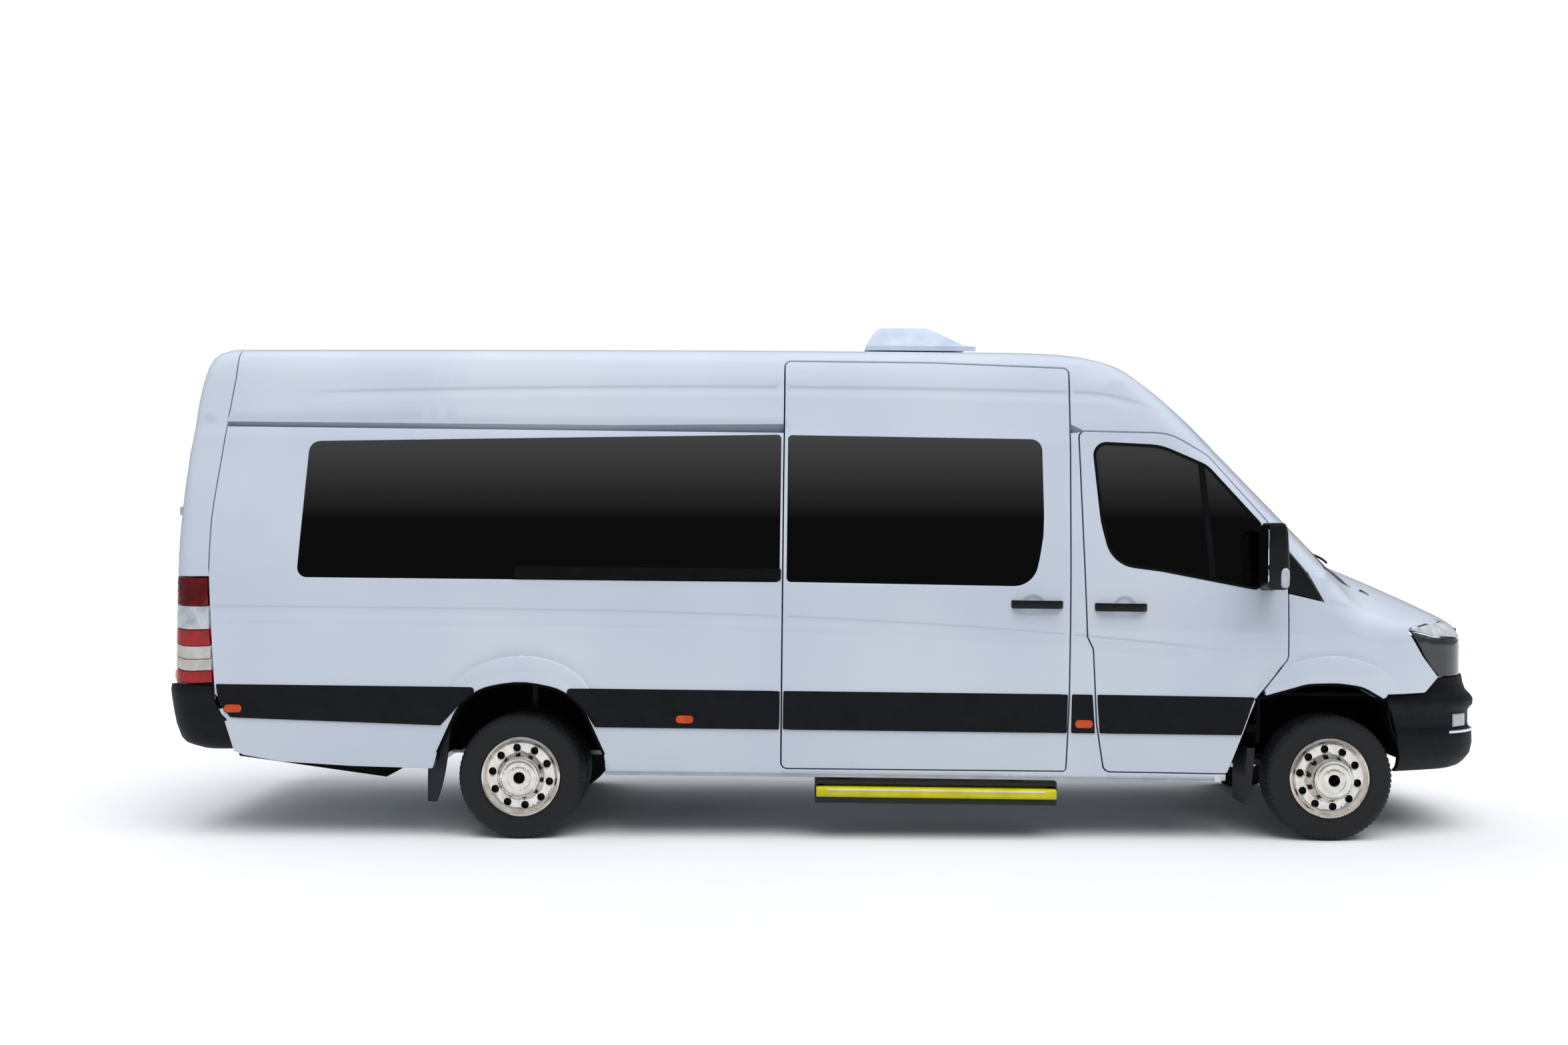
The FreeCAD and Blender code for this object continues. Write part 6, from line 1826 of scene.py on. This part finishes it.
def rearDoors():
    # outer skins of the two rear doors with their panes, hinges, handle and blank plate
    def onTail(line):
        return thinned(seenFrom("rear", line))
    window = rounded(rearDoor["window"])
    door = skinOf([onTail(rearDoorEdge), onTail(widened(window, 2))], tailView, 40, 40)
    pane = skinOf([onTail(window)], tailView, 5, 60, roll=2.0, level=-2.0)
    rubberRing = skinOf([onTail(widened(window, 9)), onTail(widened(window, -6))], tailView, 6, 40, roll=2.5,
                        level=2.0)
    for sign, side in ((-1, "Right"), (1, "Left")):
        flip = (lambda skin: skin) if sign < 0 else mirrorOf
        body = "door_rear_" + side.lower()
        skin = flip(door)
        dress("rearDoorSkin" + side, skin, [enamel, enamel, liningPlastic], body, slots=skin["groups"],
              nodes=["rear_door_" + side.lower()])
        dress("rearDoorPane" + side, flip(pane), darkGlass, body, nodes=["rear_door_glass_" + side.lower()])
        dress("rearDoorRubber" + side, flip(rubberRing), sealRubber, body)
        for z in rearDoor["hinges"]:
            arm = []
            for y, high, deep in rearDoor["hinge"]:
                at = seenFrom("rear", np.array([[y, z]]))[0]
                ring = roundProfile(deep, high, min(deep, high) * 0.35, 4)
                arm.append(vec(at[0] - 4 + ring[:, 0], -sign * y, z + ring[:, 1]))
            lofted("rearHinge%s%d" % (side, z), arm, sillAluminium, body)
    low, high = rearDoor["handle"]
    out = seenFrom("rear", np.array([[-30, low]]))[0, 0] - 6
    grip = np.linspace(0, 1, 16)
    path = vec(out - 20 * np.sin(math.pi * grip), -62, low + (high - low) * grip)
    solidAlong("rearDoorHandle", path, roundProfile(15, 30, 6, 4), smoothBlack, "door_rear_right",
               up=(0, 1, 0), turn=40)
    lampBar = skinOf([onTail(rounded(oblong(*rearDoor["lampBar"])))], tailView, 30, 30, roll=6.0, level=14.0,
                     back=bodyForm)
    dress("plateLampBar", lampBar, charcoalPlastic, "door_rear_left")
    plate = skinOf([onTail(rounded(oblong(*rearDoor["plate"])))], tailView, 3, 60, roll=1.0, level=5.0,
                   back=bodyForm)
    dress("blankPlate", plate, whiteTape, "door_rear_left")


wiper = {"Right": (-540, 1504, 60, 1566), "Left": (30, 1516, 600, 1560)}     # foot and tip, across and up


def wipers():
    # two parked arms with blades on the windscreen
    def onGlass(y, z, level):
        start = vec(F(-650), y, z)
        return meet(bodyForm, start, np.broadcast_to((1.0, 0, 0), start.shape), level)
    t = np.linspace(0, 1, 18)
    for name, (y0, z0, y1, z1) in wiper.items():
        path = onGlass(y0 + (y1 - y0) * t, z0 + (z1 - z0) * t ** 0.8, 16 - 6 * t)
        solidAlong("wiperArm" + name, path, roundProfile(9, 14, 4, 3), smoothBlack, turn=40)
        blade = onGlass(np.linspace(y1 - 330, y1 + 40, 22), np.linspace(1548, 1578, 22), 4.0)
        solidAlong("wiperBlade" + name, blade, roundProfile(8, 10, 3, 3), sealRubber, turn=40)


bumpers()
archLiners()
flaps()
railAndTrays()
rearDoors()
wipers()
print("bumpers, liners, rear doors and wipers made")
# seats, cab and roof unit
seat = {
    "cushion": (440, 118), "back": (640, 96), "head": (150, 84),   # length and thickness
    "wide": 445, "seams": {"cushion": (-40, 70), "back": (-120, 30, 180)},
    "base": 940, "lean": 11.5, "channel": 5.0,
    "rows": [F(-1560) - 790 * i for i in range(5)], "frontRow": F(-700),
}


def padGrid(long, wide, thick, seams, rows=40, columns=30):
    # a crowned closed pad: length and width by arcs of a rounded rectangle, and a thickness that
    # falls to the rim
    u = np.linspace(-1, 1, rows)
    v = np.linspace(-1, 1, columns)
    a, b = np.meshgrid(u, v, indexing="ij")
    pull = 1 - 0.035 * (1 - a ** 2) * np.abs(b) ** 6 - 0.03 * (1 - b ** 2) * np.abs(a) ** 6
    x = long / 2 * np.sign(a) * np.abs(a) ** 0.9 * pull
    y = wide / 2 * np.sign(b) * np.abs(b) ** 0.9 * pull
    corner = np.clip(np.abs(a), 0, 1) ** 5 * np.clip(np.abs(b), 0, 1) ** 5
    x, y = x * (1 - 0.05 * corner), y * (1 - 0.05 * corner)
    rim = ((1 - np.abs(a) ** 6) * (1 - np.abs(b) ** 6)) ** 0.28
    crown = 0.82 + 0.18 * (1 - a ** 2) * (1 - b ** 2)
    sewn = np.zeros_like(x)
    for at in seams:
        sewn = sewn + np.exp(-((a * long / 2 - at) / 7) ** 2) * (np.abs(b) < 0.9)
    sewn = sewn + np.exp(-((np.abs(b) - 0.62) * wide / 2 / 7) ** 2)
    top = thick / 2 * rim * crown - seat["channel"] * np.clip(sewn, 0, 1) * rim
    low = -thick / 2 * rim * 0.9
    upper = np.stack([x, y, top], axis=-1)
    lower = np.stack([x, y, low], axis=-1)
    points = np.concatenate([upper.reshape(-1, 3), lower.reshape(-1, 3)])
    faces = gridFaces(rows, columns, flip=False) + gridFaces(rows, columns, start=rows * columns, flip=True)
    edge = ([j for j in range(columns)] + [i * columns + columns - 1 for i in range(1, rows)]
            + [(rows - 1) * columns + j for j in range(columns - 2, -1, -1)]
            + [i * columns for i in range(rows - 2, 0, -1)])
    total = rows * columns
    faces += [[edge[k], edge[(k + 1) % len(edge)], edge[(k + 1) % len(edge)] + total, edge[k] + total]
              for k in range(len(edge))]
    return points, faces


def puffed(points, faces, voxel=6.0, cap=9.0, share=0.22):
    # a padded form blown up as cloth from a slightly smaller shape, its movement capped
    mesh = bpy.data.meshes.new("padBlank")
    mesh.from_pydata((points * 0.975 / 1000).tolist(), [], faces)
    work = bpy.data.objects.new("padBlank", mesh)
    scene.collection.objects.link(work)
    shaped = bmesh.new()
    shaped.from_mesh(mesh)
    bmesh.ops.remove_doubles(shaped, verts=shaped.verts, dist=1e-5)
    bmesh.ops.recalc_face_normals(shaped, faces=shaped.faces)
    shaped.to_mesh(mesh)
    shaped.free()
    remesh = work.modifiers.new("voxels", "REMESH")
    remesh.mode, remesh.voxel_size = "VOXEL", voxel / 1000
    graph = bpy.context.evaluated_depsgraph_get()
    mesh = bpy.data.meshes.new_from_object(work.evaluated_get(graph))
    work.modifiers.clear()
    work.data = mesh
    count = len(mesh.vertices)
    before = np.empty(count * 3)
    mesh.vertices.foreach_get("co", before)
    before = before.reshape(-1, 3)
    after = before.copy()
    cloth = work.modifiers.new("cover", "CLOTH")
    cloth.settings.quality = 4
    cloth.settings.use_pressure = True
    cloth.settings.uniform_pressure_force = 4
    cloth.settings.effector_weights.gravity = 0
    for step in range(1, 21):
        scene.frame_set(step)
    graph = bpy.context.evaluated_depsgraph_get()
    blown = work.evaluated_get(graph).to_mesh()
    flatCo = np.empty(count * 3)
    blown.vertices.foreach_get("co", flatCo)
    after = flatCo.reshape(-1, 3)
    work.modifiers.clear()
    scene.frame_set(1)
    move = after - before
    far = np.linalg.norm(move, axis=1, keepdims=True)
    after = before + move * np.minimum(1, cap / 1000 / np.maximum(far, 1e-9))
    mesh.vertices.foreach_set("co", after.ravel())
    mesh.update()
    fewer = work.modifiers.new("fewer", "DECIMATE")
    fewer.ratio = share
    graph = bpy.context.evaluated_depsgraph_get()
    final = bpy.data.meshes.new_from_object(work.evaluated_get(graph))
    co = np.empty(len(final.vertices) * 3)
    final.vertices.foreach_get("co", co)
    polygons = [list(face.vertices) for face in final.polygons]
    bpy.data.objects.remove(work)
    return co.reshape(-1, 3) * 1000, polygons


def placed(pad, middle, tilt):
    # turned about the crosswise axis by tilt degrees, and moved
    turn = math.radians(tilt)
    points, faces = pad
    x = points[:, 0] * math.cos(turn) + points[:, 2] * math.sin(turn)
    z = points[:, 2] * math.cos(turn) - points[:, 0] * math.sin(turn)
    return vec(x, points[:, 1], z) + np.array(middle, float), faces


def setSeat(x, y, pads, parts):
    # one seat's three pads: cushion almost level, back and headrest leaning back
    z, upright = seat["base"], 270 - seat["lean"]
    places = ((x - 232, y, z + 72), -3), ((x - 545, y, z + 428), upright), ((x - 628, y, z + 728), upright)
    for made, pad, (middle, tilt) in zip(parts.values(), pads, places):
        made.append((placed(pad, middle, tilt), 0))


def seatFrames(name, rows, node):
    # moulded shells under the pads and steel legs down to the floor
    parts = []
    for x, y0, y1, foot0, foot1 in rows:
        z = seat["base"]
        side = rounded([(x - 520, z, 20), (x - 430, z - 16, 20), (x - 30, z + 2, 20), (x - 16, z + 26, 20),
                        (x - 455, z + 60, 30), (x - 610, z + 700, 30), (x - 668, z + 700, 30)], 60)
        count = len(side)
        points = np.concatenate([vec(side[:, 0], np.full(count, y), side[:, 1]) for y in (y0 + 18, y1 - 18)])
        faces = gridFaces(2, count, False, True)
        faces += [list(range(count))[::-1], [count + j for j in range(count)]]
        parts.append(((points, [face[::-1] for face in faces]), 0))
        for at in (foot0 + 40, foot1 - 40):
            leg = roundProfile(40, 40, 8, 3)
            for reach in (-120, -390):
                points = np.concatenate([vec(x + reach + leg[:, 0], at + leg[:, 1], h)
                                         for h in (vehicle["floorTop"] + 2, z - 4)])
                parts.append(((points, capped(gridFaces(2, len(leg), False, True), 2, len(leg))), 1))
    points, faces, slots = joined(parts)
    piece = makeMesh(name, points, faces, [interiorPlastic, chassisPaint], turn=35, slots=slots)
    work = bmesh.new()
    work.from_mesh(piece.data)
    bmesh.ops.recalc_face_normals(work, faces=work.faces)
    work.to_mesh(piece.data)
    work.free()
    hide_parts(node)


def seats():
    # front and passenger seats: padded cushions, backs and headrests over moulded shells
    base = [puffed(*padGrid(seat[kind][0], seat["wide"], seat[kind][1], seat["seams"][kind]))
            for kind in ("cushion", "back")]
    head = puffed(*padGrid(seat["head"][0], 260, seat["head"][1], (), 20, 24), cap=6.0)

    def scaledTo(wide):
        return [(points * (1, wide / seat["wide"], 1), faces) for points, faces in base] + [head]
    groups = {
        "front": [(seat["frontRow"], (-430, 430), 490)],
        "passenger": [(x, (280, 680) + ((-630,) if k else ()), 392) for k, x in enumerate(seat["rows"])]}
    for name, rows in groups.items():
        parts = {"cushion": [], "back": [], "head": []}
        for x, middles, wide in rows:
            for y in middles:
                width = seat["wide"] if y == -630 else wide
                setSeat(x, y, scaledTo(width), parts)
        for kind, made in parts.items():
            points, faces, _ = joined(made)
            piece = makeMesh(name + kind.capitalize() + "Pads", points, faces, seatCloth, turn=60)
    front = [(seat["frontRow"], -680, -180, -620, -240), (seat["frontRow"], 180, 680, 240, 620)]
    seatFrames("frontSeatShells", front, "front_seats")
    rows = []
    for k, x in enumerate(seat["rows"]):
        rows.append((x, 80, 880, 160, 560 if k > 2 else 780))
        if k:
            rows.append((x, -860, -400, -560 if k > 2 else -780, -440))
    seatFrames("passengerSeatShells", rows, "passenger_seats")


fan = {"x": 400.0, "top": 2796.0, "middles": (-210, 210), "rings": (60, 80, 100, 120, 140), "wire": 5}


def roofUnit():
    # two grilles of wire rings over the fans of the roof air conditioner
    turn = np.linspace(0, 2 * math.pi, 49)[:-1]
    tube = roundProfile(fan["wire"], fan["wire"], 2, 2)
    for k, y in enumerate(fan["middles"]):
        parts = []
        for r in fan["rings"]:
            reach = r + tube[None, :, 0]
            points = vec(fan["x"] + reach * np.cos(turn)[:, None], y + reach * np.sin(turn)[:, None],
                         fan["top"] + np.broadcast_to(tube[None, :, 1], (48, len(tube))))
            parts.append(((points.reshape(-1, 3), gridFaces(48, len(tube), True, True, flip=True)), 0))
        points, faces, _ = joined(parts)
        makeMesh("fanGrille%d" % k, points, faces, linerPlastic, turn=40, level=True)


seats()
roofUnit()
print("seats and roof unit made")
